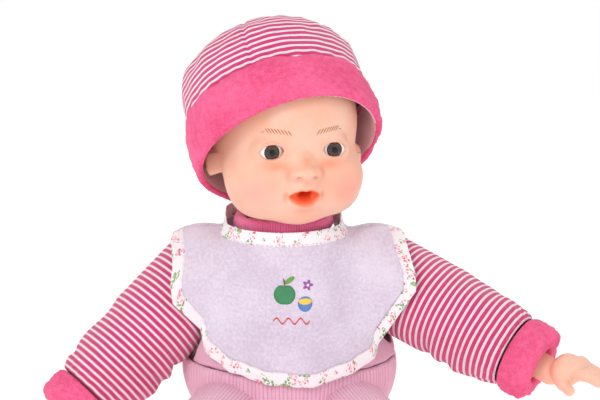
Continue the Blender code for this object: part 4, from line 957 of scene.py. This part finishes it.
def bib():
    def under(p):
        sleeves = []
        for side, sign in SIDES.items():
            pivot = mirrored(SHOULDER, sign)
            sleeves.append(
                np.min(
                    [capsule(p, pivot, pivot + d * ARM_LENGTH, ARM_BALL) for d in arm_directions(side)],
                    axis=0
                )
            )
        collar = drum(p, (NECK.x, NECK.y, 0.128), NECKLINE_RADIUS, NECKLINE_Z - 0.128 + 0.012, 0.003)
        return melt([torso_form(p)] + sleeves + [collar], 0.0030) - 0.0022

    centre = np.array((NECK.x, NECK.y, 0.098))
    known = sorted(BIB_FALL.items())
    ends = [(d - 360, f) for d, f in known] + known + [(d + 360, f) for d, f in known]
    degrees = np.arange(0, 360, 2.0)
    fall = np.interp(degrees, [d for d, _ in ends], [f for _, f in ends])
    kernel = np.array([1, 2, 3, 2, 1]) / 9
    rise = neckline_rise(degrees)
    fall = np.convolve(np.concatenate([fall[-2:], fall, fall[:2]]), kernel, "valid") + rise
    steps = 190
    tilt = np.linspace(0.42, 2.35, steps)
    angle = np.radians(degrees)
    out = np.stack([np.sin(angle), -np.cos(angle), 0 * angle], axis=1)
    rays = np.sin(tilt)[None, :, None] * out[:, None] + np.cos(tilt)[None, :, None] * np.array((0, 0, 1.0))
    far = reach(under, centre, rays.reshape(-1, 3), 0.16, 110, 14)
    lines = (centre + rays.reshape(-1, 3) * far[:, None]).reshape(len(degrees), steps, 3)
    kept = []
    for line, higher in zip(lines, rise):
        away = np.linalg.norm((line - centre)[:, :2], axis=1)
        top = NECKLINE_Z + higher
        first = int(np.argmax((away > 0.020) & (line[:, 2] < top)))
        share = (line[first - 1, 2] - top) / max(line[first - 1, 2] - line[first, 2], 1e-6)
        start = line[first - 1] + (line[first] - line[first - 1]) * np.clip(share, 0, 1)
        line = np.vstack([start, line[first:]]) if away[first - 1] > 0.020 else line[first:]
        kept.append((line, run_along(line)))

    def at(i, s, lift):
        line, length = kept[i]
        point = np.array([np.interp(s, length, line[:, k]) for k in range(3)])
        away = (point - centre) / np.linalg.norm(point - centre)
        return point + away * lift

    def drape(i, s, reach_down):
        """Soft folds that run down from the neck, deeper towards the hem."""
        turn = degrees[i]
        turn = turn - 360 if turn > 180 else turn
        share = s / max(reach_down, 1e-4)
        folds = 0.0
        for where, width, deep in (
            (-34, 6, 1.5), (-12, 5, 0.9), (14, 6, 1.3), (33, 5, 1.2), (-22, 3, 0.5), (4, 4, 0.6),
            (48, 5, 0.8), (-50, 5, 0.8)
        ):
            folds += deep * math.exp(-((turn - where - 4 * share) / width) ** 2)
        return 0.00125 * folds * float(smooth(share, 0.08, 0.75))

    # Panel
    wide = [i for i in range(len(degrees)) if fall[i] - 2 * BINDING > 0.004]
    split = next(i for i in range(1, len(wide)) if wide[i] - wide[i - 1] > 1)
    order = wide[split:] + wide[:split]
    rows = 56
    points = np.array(
        [[
            at(i, s, drape(i, s, fall[i]))
            for s in np.linspace(BINDING - 0.0015, fall[i] - BINDING + 0.0015, rows)
        ] for i in order]
    )
    points = points.transpose(1, 0, 2)
    mesh = grid_mesh("bib_terry", points, wrap=False)
    mesh.update()
    middle = mesh.polygons[len(mesh.polygons) // 2]
    if middle.normal.dot(middle.center - Vector(centre)) < 0:
        mesh.flip_normals()
    layer = mesh.uv_layers["metres"].data
    for loop in mesh.loops:
        co = mesh.vertices[loop.vertex_index].co
        layer[loop.index].uv = (co.x, co.z if co.y < 0 else 0.3 - co.z)
    panel = thicken(shown("bib_terry", mesh, TERRY), BIB_CLOTH, 1)
    belongs(panel, "torso", "bib_cloth", "bib_panel")

    # Bindings: folded tape with a rounded section and a stitched groove
    def tape(name, spans, node, closed):
        section = []
        for t in np.linspace(0, 2 * math.pi, TAPE_ROWS, endpoint=False):
            across = 0.5 - 0.5 * math.cos(t)
            thick = math.copysign(abs(math.sin(t)) ** 0.45, math.sin(t))
            section.append((across, thick))
        columns = []
        for i, start, end in spans:
            ring = []
            for across, thick in section:
                s = start + (end - start) * across
                groove = 0.00045 * math.exp(
                    -((across - (STITCH_LINE if closed else 1 - STITCH_LINE)) / 0.035) ** 2
                )
                top = 0.00125 + 0.0002 * math.sin(degrees[i] * 1.7)
                level = drape(i, s, fall[i]) + 0.0004
                lift = level + (top - groove if thick > 0 else 0.0007) * thick
                ring.append(at(i, s, max(lift, -0.0002)))
            columns.append(ring)
        points = np.array(columns).transpose(1, 0, 2)
        mesh = grid_mesh(name, points, wrap=closed, wrap_rows=True)
        if not closed:
            edited(mesh, fill_edges)
        obj = shown(name, mesh, TAPE)
        edited(mesh, face_out)
        return belongs(obj, "torso", "bib_binding", node)

    every = list(range(len(degrees)))
    neck_tape = tape("bib_neck_tape", [(i, 0.0, BINDING) for i in every], "bib_neck_binding", True)
    edge_tape = tape(
        "bib_edge_tape", [(i, fall[i] - BINDING, fall[i] + 0.0002 * math.sin(i)) for i in order],
        "bib_edge_binding", False
    )

    # Stitches along both tapes
    def stitches(name, spans, offset):
        verts, faces = [], []
        points = []
        for i, s in spans:
            points.append(at(i, s, drape(i, s, fall[i]) + offset))
        points = np.array(points)
        length = run_along(points)
        for start in np.arange(0.0008, length[-1] - STITCH_STEP, STITCH_STEP):
            ends = [
                np.array(
                    [np.interp(start + d, length, points[:, k]) for k in range(3)]
                ) for d in (0, 0.0005, 0.0011, 0.0017, 0.0022)
            ]
            ahead = (ends[-1] - ends[0]) / np.linalg.norm(ends[-1] - ends[0])
            up = (ends[2] - centre) / np.linalg.norm(ends[2] - centre)
            side = np.cross(ahead, up)
            base = len(verts)
            for p, size in zip(ends, (0.00008, 0.00022, 0.00026, 0.00022, 0.00008)):
                for t in range(6):
                    turn = t * math.pi / 3
                    verts.append(p + size * (math.cos(turn) * side + math.sin(turn) * up))
            for r in range(4):
                for t in range(6):
                    a, b = base + r * 6 + t, base + r * 6 + (t + 1) % 6
                    faces.append((a, b, b + 6, a + 6))
            faces += [tuple(base + t for t in range(5, -1, -1)), tuple(base + 24 + t for t in range(6))]
        return belongs(shown(name, mesh_of(name, verts, faces), thread.material), "torso", "bib_binding")

    thread = Finish("cotton_thread", Roughness=0.7, Sheen_Weight=0.2)
    where = thread.add("TexCoord", pick=3)
    thread.set(
        Base_Color=thread.mix(thread.noise(where, 700, 2), rgba((232, 226, 230)), rgba((250, 246, 248)))
    )
    neck_stitch = stitches("bib_neck_stitches", [(i, BINDING * STITCH_LINE) for i in every + [0]], 0.0013)
    edge_stitch = stitches("bib_edge_stitches", [(i, fall[i] - BINDING * STITCH_LINE) for i in order], 0.0013)

    # A plain picture in satin stitch: an apple with a leaf, a ball, a small flower and a wavy line
    tree = BVHTree.FromObject(panel, bpy.context.evaluated_depsgraph_get())

    def on_cloth(x, z, lift):
        hit, normal, _, _ = tree.ray_cast(Vector((x, -0.15, z)), Vector((0, 1, 0)))
        return hit + normal * lift

    def patch(name, centre_x, centre_z, outline, finish, lift=0.00055):
        """A raised patch; outline(angle) is its radius."""
        rings, sectors = 9, 72
        verts = [on_cloth(centre_x, centre_z, lift)]
        uvs_of = [(0.0, 0.0)]
        for r in range(1, rings + 1):
            for t in range(sectors):
                turn = t * 2 * math.pi / sectors
                size = outline(turn) * r / rings
                edge = 1 - max(0.0, (r / rings - 0.78) / 0.22) ** 2 * 0.9
                x, z = centre_x + size * math.cos(turn), centre_z + size * math.sin(turn)
                verts.append(on_cloth(x, z, lift * edge - (0.0002 if r == rings else 0)))
                uvs_of.append((x - centre_x, z - centre_z))
        faces = [(0, 1 + t, 1 + (t + 1) % sectors) for t in range(sectors)]
        for r in range(rings - 1):
            a = 1 + r * sectors
            faces += [
                (a + t, a + sectors + t, a + sectors + (t + 1) % sectors, a + (t + 1) % sectors)
                for t in range(sectors)
            ]
        mesh = mesh_of(name, verts, faces, [uvs_of[c] for f in faces for c in f])
        mesh.update()
        if mesh.polygons[0].normal.y > 0:
            mesh.flip_normals()
        return belongs(shown(name, mesh, finish), "torso", "bib_cloth")

    def satin(name, low, high, lean):
        f = Finish(name, Roughness=0.45, Sheen_Weight=0.2)
        uv = f.uv()
        spun = f.add("Mapping", {"Vector": uv, "Rotation": (0, 0, lean)})
        u, v, _ = f.parts(spun)
        line = f.math(
            "PINGPONG", f.math("ADD", f.math("MULTIPLY", u, 1 / SATIN_STEP), f.noise(uv, 400, 1)), 0.5
        )
        # painted highlight and shade: each satin thread is paler on its raised crest and darker in its dips,
        # as in the bump, with random tone
        f.set(
            Base_Color=f.mix(
                f.math("ADD", line, f.math("MULTIPLY", f.noise(uv, 160, 2), 0.6)), rgba(low), rgba(high)
            ),
            Normal=f.bump(line, 0.0003, 0.8)
        )
        return f.material

    cx, cz = 0.0018, 0.1060
    leaf_shape = lambda length, width, lean: (
        lambda t: 1 / math.sqrt(
            (math.cos(t - lean) / length) ** 2 + (math.sin(t - lean) / width) ** 2
        ) * (1 - 0.12 * abs(math.sin(t - lean)))
    )
    pieces = [
        patch(
            "stitched_apple", cx - 0.0046, cz + 0.0030,
            lambda t: 0.0068 * (
                1 - 0.16 * math.exp(-(((t - math.pi / 2) / 0.35) ** 2))
                - 0.07 * math.exp(-(((t - 1.5 * math.pi) / 0.30) ** 2)) + 0.03 * math.cos(2 * t)
            ),
            satin("stitch_green", (24, 96, 62), (62, 158, 98), 0.9)
        ),
        patch(
            "stitched_leaf", cx - 0.0015, cz + 0.0118, leaf_shape(0.0038, 0.0017, 0.6),
            satin("stitch_leaf", (70, 130, 50), (128, 186, 84), 0.2), 0.0005
        ),
        patch(
            "stitched_stem", cx - 0.0048, cz + 0.0104, leaf_shape(0.0026, 0.0006, 1.75),
            satin("stitch_brown", (96, 62, 38), (140, 98, 62), 1.5), 0.0006
        ),
        patch(
            "stitched_ball_low", cx + 0.0082, cz - 0.0026, lambda t: 0.0047,
            satin("stitch_blue", (52, 92, 170), (102, 150, 214), 0.4), 0.0005
        ),
        patch(
            "stitched_ball_high", cx + 0.0082, cz - 0.0012, leaf_shape(0.0044, 0.0024, 0.0),
            satin("stitch_yellow", (232, 190, 40), (250, 222, 96), 0.4), 0.0008
        ),
        patch(
            "stitched_flower", cx + 0.0098, cz + 0.0086, lambda t: 0.0034 * (0.78 + 0.26 * math.cos(5 * t)),
            satin("stitch_purple", (120, 44, 140), (176, 96, 194), 0.0), 0.0005
        ),
        patch(
            "stitched_flower_eye", cx + 0.0098, cz + 0.0086, lambda t: 0.0010,
            satin("stitch_cream", (246, 226, 150), (255, 244, 196), 0.0), 0.0008
        ),
    ]
    verts, faces = [], []
    t = np.linspace(0, 1, 90)
    xs, zs = cx - 0.0115 + 0.0225 * t, cz - 0.0125 + 0.0016 * np.sin(t * 6 * math.pi)
    for x, z in zip(xs, zs):
        for dz, lift in ((-0.00055, -0.0001), (-0.0003, 0.0005), (0.0003, 0.0005), (0.00055, -0.0001)):
            verts.append(on_cloth(x, z + dz, lift))
    for i in range(len(xs) - 1):
        for k in range(3):
            faces.append((i * 4 + k, i * 4 + k + 1, i * 4 + k + 5, i * 4 + k + 4))
    mesh = mesh_of("stitched_wave", verts, faces, [(verts[c][0], verts[c][2]) for f in faces for c in f])
    mesh.update()
    if mesh.polygons[0].normal.y > 0:
        mesh.flip_normals()
    pieces.append(
        belongs(
            shown("stitched_wave", mesh, satin("stitch_red", (198, 40, 40), (236, 92, 80), 0.0)), "torso",
            "bib_cloth"
        )
    )


# ---- limbs -------------------------------------------------------------------------------------
def creases(marks):
    """Relief of a sleeve: each mark is (place along, angle, width, spread in radians, lean, depth)."""
    def relief(angle, height, points):
        total = 0
        for where, turn, width, spread, lean, deep in marks:
            away = (angle - turn + math.pi) % (2 * math.pi) - math.pi
            line = (height - where - lean * np.sin(away)) / width
            total = total + deep * (
                np.exp(-(line ** 2)) - 0.6 * np.exp(-((line - 1.7) ** 2))
            ) * np.exp(-((away / spread) ** 2))
        return total
    return relief


SLEEVE_MARKS = {
    "left": [
        (0.062, 3.0, 0.0040, 1.0, 0.006, -0.0022), (0.074, 2.4, 0.0035, 0.8, -0.008, -0.0016),
        (0.084, 0.5, 0.0032, 0.9, 0.004, -0.0012), (0.095, 3.6, 0.0030, 1.0, 0.004, -0.0013),
        (0.053, 4.4, 0.0040, 0.8, 0.010, -0.0014), (0.090, 5.2, 0.0034, 0.8, -0.006, -0.0013)
    ],
    "right": [
        (0.060, 3.3, 0.0042, 1.1, -0.006, -0.0030), (0.072, 3.9, 0.0038, 0.9, 0.010, -0.0022),
        (0.083, 2.6, 0.0034, 1.0, -0.008, -0.0018), (0.094, 0.3, 0.0032, 1.0, 0.004, -0.0012),
        (0.052, 1.8, 0.0040, 0.8, 0.008, -0.0013), (0.097, 4.2, 0.0030, 0.9, 0.005, -0.0014)
    ],
}


def bent(point, start, angle, sign):
    x, y, z = point
    c, s = math.cos(angle), math.sin(angle)
    return (x * c + z * s, y * sign, start - x * s + z * c)


def soft_skin(name, lumps, place, voxel, rounds):
    """Capsules joined into one smooth vinyl skin. A lump is (start, end, radius)."""
    bm = bmesh.new()
    for start, end, radius in lumps:
        start, end = Vector(start), Vector(end)
        for centre in (start, end):
            ball = bmesh.ops.create_uvsphere(bm, u_segments=20, v_segments=14, radius=radius)
            bmesh.ops.translate(bm, vec=centre, verts=ball["verts"])
        if (end - start).length > radius * 0.2:
            rod = bmesh.ops.create_cone(
                bm, cap_ends=True, segments=20, radius1=radius, radius2=radius, depth=(end - start).length
            )
            turn = (end - start).to_track_quat("Z", "Y").to_matrix().to_4x4()
            bmesh.ops.transform(bm, matrix=Matrix.Translation((start + end) / 2) @ turn, verts=rod["verts"])
    mesh = bpy.data.meshes.new(name)
    bm.to_mesh(mesh)
    bm.free()
    obj = shown(name, mesh, LIMB_SKIN)
    remesh = obj.modifiers.new("skin", "REMESH")
    remesh.mode, remesh.voxel_size = "VOXEL", voxel
    ease = obj.modifiers.new("ease", "SMOOTH")
    ease.factor, ease.iterations = 0.5, rounds
    settle(obj)
    obj.data.materials.clear()
    obj.data.materials.append(LIMB_SKIN)
    obj.data.transform(place)
    obj.data.shade_smooth()
    return obj


def arm(side, sign):
    pivot = mirrored(SHOULDER, sign)
    place = along(pivot, ARM_DIRECTIONS[side])
    body = "arm_" + side
    profile = [
        (0.0262, -0.0135), (0.0290, -0.0070), (0.0300, 0.0), (0.0300, 0.020), (0.0298, 0.040),
        (0.0290, 0.060), (0.0278, 0.080), (0.0256, 0.096), (0.0240, 0.1040), (0.0226, 0.1058),
        (0.0214, 0.1050)
    ]
    marks = creases(SLEEVE_MARKS[side])

    def folds(angle, height, points):
        free = smooth(height, 0.040, 0.056) * (1 - smooth(height, 0.099, 0.105))
        gather = 0.0005 * np.sin(
            angle * 18 + 2 * np.sin(2 * angle)
        ) * smooth(height, 0.086, 0.102) * (1 - smooth(height, 0.1045, 0.1058))
        return free * (marks(angle, height, points) + 0.0007 * ripple(points, 0.035, 41 + sign)) + gather

    tube = turned_points(profile, SLEEVE_COLUMNS, 190, False, folds)
    tube = tube[tube[:, 0, 2] > 0.002]
    turn = np.array(place)
    flat = tube.reshape(-1, 3) @ turn[:3, :3].T + turn[:3, 3]
    tube = flat.reshape(tube.shape)
    # The sleeve's head runs back over the shoulder's ball and ends on the bodice, a little outside it
    at_bodice, at_sleeve = SLEEVE_HEAD_RADII
    spin = np.arange(SLEEVE_COLUMNS) * 2 * math.pi / SLEEVE_COLUMNS
    ring = np.cos(spin)[:, None] * turn[:3, 0] + np.sin(spin)[:, None] * turn[:3, 1]
    outward = turn[:3, 2]

    def on_ball(tilt, radius):
        return np.array(pivot) + radius * (np.cos(tilt)[:, None] * outward + np.sin(tilt)[:, None] * ring)

    tilts = np.full(SLEEVE_COLUMNS, math.radians(150.0))
    done = np.zeros(SLEEVE_COLUMNS, bool)
    for degrees in np.arange(84.0, 150.0, 0.75):
        inside = torso_form(on_ball(np.full(SLEEVE_COLUMNS, math.radians(degrees)), at_bodice)) < 0.0008
        tilts = np.where(inside & ~done, math.radians(degrees), tilts)
        done |= inside
    for _ in range(6):
        tilts = (np.roll(tilts, 1) + 2 * tilts + np.roll(tilts, -1)) / 4
    start = math.radians(SLEEVE_HEAD_TILT)
    head_rows = np.array(
        [
            on_ball(tilts * (1 - t) + start * t, at_bodice * (1 - t) + at_sleeve * t)
            for t in np.linspace(0, 1, 26)[:-1]
        ]
    )
    points = np.concatenate([head_rows, tube])
    sleeve_under = lambda p: melt(
        [torso_form(p)] + [
            np.min(
                [
                    capsule(p, mirrored(SHOULDER, g), mirrored(SHOULDER, g) + d * ARM_LENGTH, ARM_BALL)
                    for d in arm_directions(n)
                ],
                axis=0
            ) for n,
            g in SIDES.items()
        ],
        0.0030
    )
    flat = points.reshape(-1, 3)
    near_bib = smooth(0.060 - np.linalg.norm(flat - np.array(pivot), axis=1), 0.0, 0.008)
    for _ in range(3):
        d = sleeve_under(flat)
        slope = np.stack([sleeve_under(flat + e) - d for e in np.eye(3) * 1e-4], axis=1) / 1e-4
        flat = flat - slope * (np.maximum(d - 0.0016, 0) * near_bib)[:, None]
    points = flat.reshape(points.shape)
    mesh = turn_out(grid_mesh("sleeve_knit_" + side, points))
    obj = thicken(shown("sleeve_knit_" + side, mesh, JERSEY), LIMB_CLOTH, -1)
    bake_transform(obj)
    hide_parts("sleeve_" + side)

    start = ARM_LENGTH + 0.0006
    cuff = [
        (0.0112, start), (0.0180, start - 0.0002), (0.0226, start + 0.0006), (0.0243, start + 0.0040),
        (0.0247, start + 0.0085), (0.0242, start + 0.0135), (0.0222, start + 0.0178),
        (0.0180, start + 0.0196), (0.0140, start + 0.0194), (0.0118, start + 0.0180), (0.0112, start + 0.0120)
    ]

    def pile(angle, height, points):
        outer = smooth(
            np.hypot(points[..., 0], points[..., 1]), 0.013, 0.017
        ) * smooth(height, start, start + 0.003)
        return outer * (
            0.0005 * ripple(points, 0.014, 51 + sign) + 0.0002 * ripple(points, 0.005, 53)
        ) + 0.00010 * ripple(points, 0.0021, 54) * outer

    mesh = turn_out(
        grid_mesh("cuff_fleece_" + side, turned_points(cuff, 220, 84, True, pile), wrap_rows=True)
    )
    belongs(shown("cuff_fleece_" + side, mesh, FLEECE, place), body, "pink_fleece", "sleeve_cuff_" + side)

    wrist = ARM_LENGTH + 0.022
    bend = math.radians(24 if side == "left" else 20)
    lumps = [((0, 0, ARM_LENGTH - 0.0045), (0, 0, wrist + 0.004), 0.0085)]
    palm = [
        ((0.0005, -0.003, 0.014), (0.0005, 0.004, 0.015), 0.0094),
        ((0.0015, -0.0048, 0.021), (0.0015, 0.0043, 0.021), 0.0070)
    ]
    fingers = []
    for y, curl, out in (
        (0.0088, 0.2, 0.0145), (0.0031, 0.8, 0.0152), (-0.0029, 1.2, 0.0137), (-0.0086, 1.5, 0.0107)
    ):
        low, high = (0.001, y, 0.024), (-0.001 - 0.0045 * curl, y * 1.30, 0.024 + out)
        middle = tuple(a * 0.45 + b * 0.55 + c for a, b, c in zip(low, high, (0.0012, 0, 0)))
        fingers += [(low, middle, 0.0035), (middle, high, 0.0031)]
    thumb = [
        ((-0.002, 0.009, 0.012), (-0.0050, 0.0125, 0.0165), 0.0041),
        ((-0.0050, 0.0125, 0.0165), (-0.0078, 0.0148, 0.0214), 0.0034)
    ]
    for a, b, radius in palm + fingers + thumb:
        lumps.append((bent(a, wrist, bend, sign), bent(b, wrist, bend, sign), radius))
    belongs(
        soft_skin("hand_skin_" + side, lumps, place, 0.00062, 3), "hand_" + side, "vinyl_skin", "hand_" + side
    )


def leg(side, sign):
    hip = mirrored(HIP, sign)
    place = along(hip, LEG_DIRECTIONS[side])
    body = "leg_" + side
    profile = [
        (0.0214, -0.0142), (0.0248, -0.0070), (0.0259, 0.0), (0.0260, 0.020), (0.0257, 0.040),
        (0.0252, 0.070), (0.0246, 0.088), (0.0238, 0.0975), (0.0226, 0.0998), (0.0214, 0.0990)
    ]

    def folds(angle, height, points):
        free = smooth(height, 0.036, 0.050) * (1 - smooth(height, 0.094, 0.099))
        under = 1 - smooth(-np.cos(angle), 0.3, 0.9)
        gather = 0.0004 * np.sin(
            angle * 18 + 2 * np.sin(2 * angle)
        ) * smooth(height, 0.080, 0.096) * (1 - smooth(height, 0.0985, 0.0998))
        ring = sum(
            -d * np.exp(-(((height - h - 0.004 * np.sin(angle + p)) / 0.0036) ** 2)) for h, p,
            d in ((0.052, 0.5, 0.0012), (0.066, 2.0, 0.0016), (0.080, 4.0, 0.0012))
        )
        return under * (free * (ring + 0.0006 * ripple(points, 0.03, 61 + sign)) + gather)

    mesh = turn_out(grid_mesh("leg_knit_" + side, turned_points(profile, 150, 160, False, folds)))
    obj = thicken(shown("leg_knit_" + side, mesh, RIBBED, place), LIMB_CLOTH, -1)
    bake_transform(obj)
    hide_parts("trouser_leg_" + side)

    start = LEG_LENGTH + 0.0006
    cuff = [
        (0.0146, start), (0.0200, start - 0.0002), (0.0230, start + 0.0006), (0.0245, start + 0.0035),
        (0.0249, start + 0.0075), (0.0245, start + 0.0118), (0.0226, start + 0.0158),
        (0.0190, start + 0.0176), (0.0162, start + 0.0174), (0.0148, start + 0.0160), (0.0144, start + 0.0100)
    ]

    def pile(angle, height, points):
        outer = smooth(
            np.hypot(points[..., 0], points[..., 1]), 0.016, 0.019
        ) * smooth(height, start, start + 0.003) * (1 - smooth(-np.cos(angle), 0.5, 0.9))
        return outer * (
            0.0004 * ripple(points, 0.014, 71 + sign) + 0.0002 * ripple(points, 0.005, 73)
        ) + 0.00010 * ripple(points, 0.0021, 74) * outer

    mesh = turn_out(
        grid_mesh("ankle_fleece_" + side, turned_points(cuff, 220, 80, True, pile), wrap_rows=True)
    )
    belongs(shown("ankle_fleece_" + side, mesh, FLEECE, place), body, "pink_fleece", "ankle_cuff_" + side)

    ankle = LEG_LENGTH + 0.029
    lumps = [((0, 0, LEG_LENGTH - 0.003), (0, 0, ankle), 0.0118),
             ((-0.0085, 0, ankle + 0.006), (0.012, 0, ankle + 0.009), 0.0128),
             ((0.012, 0.001 * sign, ankle + 0.009), (0.026, 0.0015 * sign, ankle + 0.008), 0.0118),
             ((0.026, -0.006, ankle + 0.008), (0.026, 0.006, ankle + 0.008), 0.0085)]
    for i, radius in enumerate((0.0048, 0.0036, 0.0034, 0.0031, 0.0028)):
        y = (0.0108 - 0.0056 * i) * -sign
        lumps.append(((0.029, y, ankle + 0.005), (0.0368 - 0.0011 * i, y, ankle + 0.0035), radius))
    belongs(
        soft_skin("foot_skin_" + side, lumps, place, 0.00075, 3), "foot_" + side, "vinyl_skin", "foot_" + side
    )


# ---- inside pieces keep their CAD shape and get a finish by slot -------------------------------
def inner_finishes():
    made = {
        "white_plastic": plastic(
            "white_plastic_fine", (236, 234, 230)
        ), "black_plastic": plastic("black_plastic_fine", (34, 33, 36)),
        "circuit": plastic("circuit_fine", (34, 110, 62), 0.32), "paper_cone": plastic(
            "paper_cone_fine", (58, 54, 50), 0.8
        ),
        "bright_metal": metal(
            "bright_metal_fine", (200, 202, 206), 0.28
        ), "battery_sleeve": plastic("battery_sleeve_fine", (44, 92, 160), 0.3),
    }
    f = Finish("stuffing_cloth_fine", Roughness=0.92)
    where = f.add("TexCoord", pick=3)
    x, y, z = f.parts(where)
    warp = f.math("PINGPONG", f.math("MULTIPLY", x, 1 / 0.0009), 0.5)
    weft = f.math("PINGPONG", f.math("MULTIPLY", z, 1 / 0.0009), 0.5)
    f.set(
        Base_Color=f.mix(f.noise(where, 60, 3), rgba((226, 216, 208)), rgba((242, 236, 230))),
        Normal=f.bump(f.math("ADD", warp, weft), 0.0002, 0.6)
    )
    made["stuffing_cloth"] = f.material
    for name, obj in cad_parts.items():
        for place in obj.material_slots:
            known = [k for k in made if place.material and place.material.name.split(".")[0].endswith(k)]
            if known:
                place.material = made[known[0]]


def stage():
    floor = bpy.data.meshes.new("floor")
    floor.from_pydata(
        [(-6, -6, -0.0004), (6, -6, -0.0004), (6, 6, -0.0004), (-6, 6, -0.0004)], [], [(0, 1, 2, 3)]
    )
    f = Finish("floor", Roughness=0.9)
    where = f.add("TexCoord", pick=3)
    f.set(Base_Color=f.mix(f.noise(where, 4, 2), rgba((243, 243, 243)), rgba((247, 247, 247))))
    f.shader.inputs["Emission Color"].default_value = (1, 1, 1, 1)
    f.shader.inputs["Emission Strength"].default_value = FLOOR_GLOW
    shown("floor", floor, f.material)
    scene = bpy.context.scene
    world = bpy.data.worlds.new("white")
    world.use_nodes = True
    world.node_tree.nodes["Background"].inputs[0].default_value = (1, 1, 1, 1)
    world.node_tree.nodes["Background"].inputs[1].default_value = SKY
    scene.world = world
    scene.view_settings.view_transform = "Standard"
    for name, where, power, size in (
        ("key", (-0.50, -0.95, 0.95), 5.2, 0.4), ("fill", (0.9, -0.7, 0.5), 1.2, 0.7),
        ("rim", (0.2, 0.9, 0.9), 2.0, 0.6)
    ):
        lamp = bpy.data.lights.new(name, "AREA")
        lamp.energy, lamp.size = power, size
        obj = bpy.data.objects.new(name, lamp)
        obj.location = where
        obj.rotation_euler = (LOOK_AT - Vector(where)).to_track_quat("-Z", "Y").to_euler()
        scene.collection.objects.link(obj)
    lens = bpy.data.cameras.new("camera")
    lens.lens, lens.sensor_width, lens.clip_start = FOCAL_MM, 36, 0.01
    camera = bpy.data.objects.new("camera", lens)
    camera.location = LOOK_AT + Vector((0, -math.cos(CAMERA_DOWN), math.sin(CAMERA_DOWN))) * CAMERA_AWAY
    camera.rotation_euler = (math.pi / 2 - CAMERA_DOWN, 0, 0)
    scene.collection.objects.link(camera)
    scene.camera = camera


stage()
inner_finishes()
head()
hat()
torso()
flap()
for side_name, side_sign in SIDES.items():
    arm(side_name, side_sign)
    leg(side_name, side_sign)
bib()
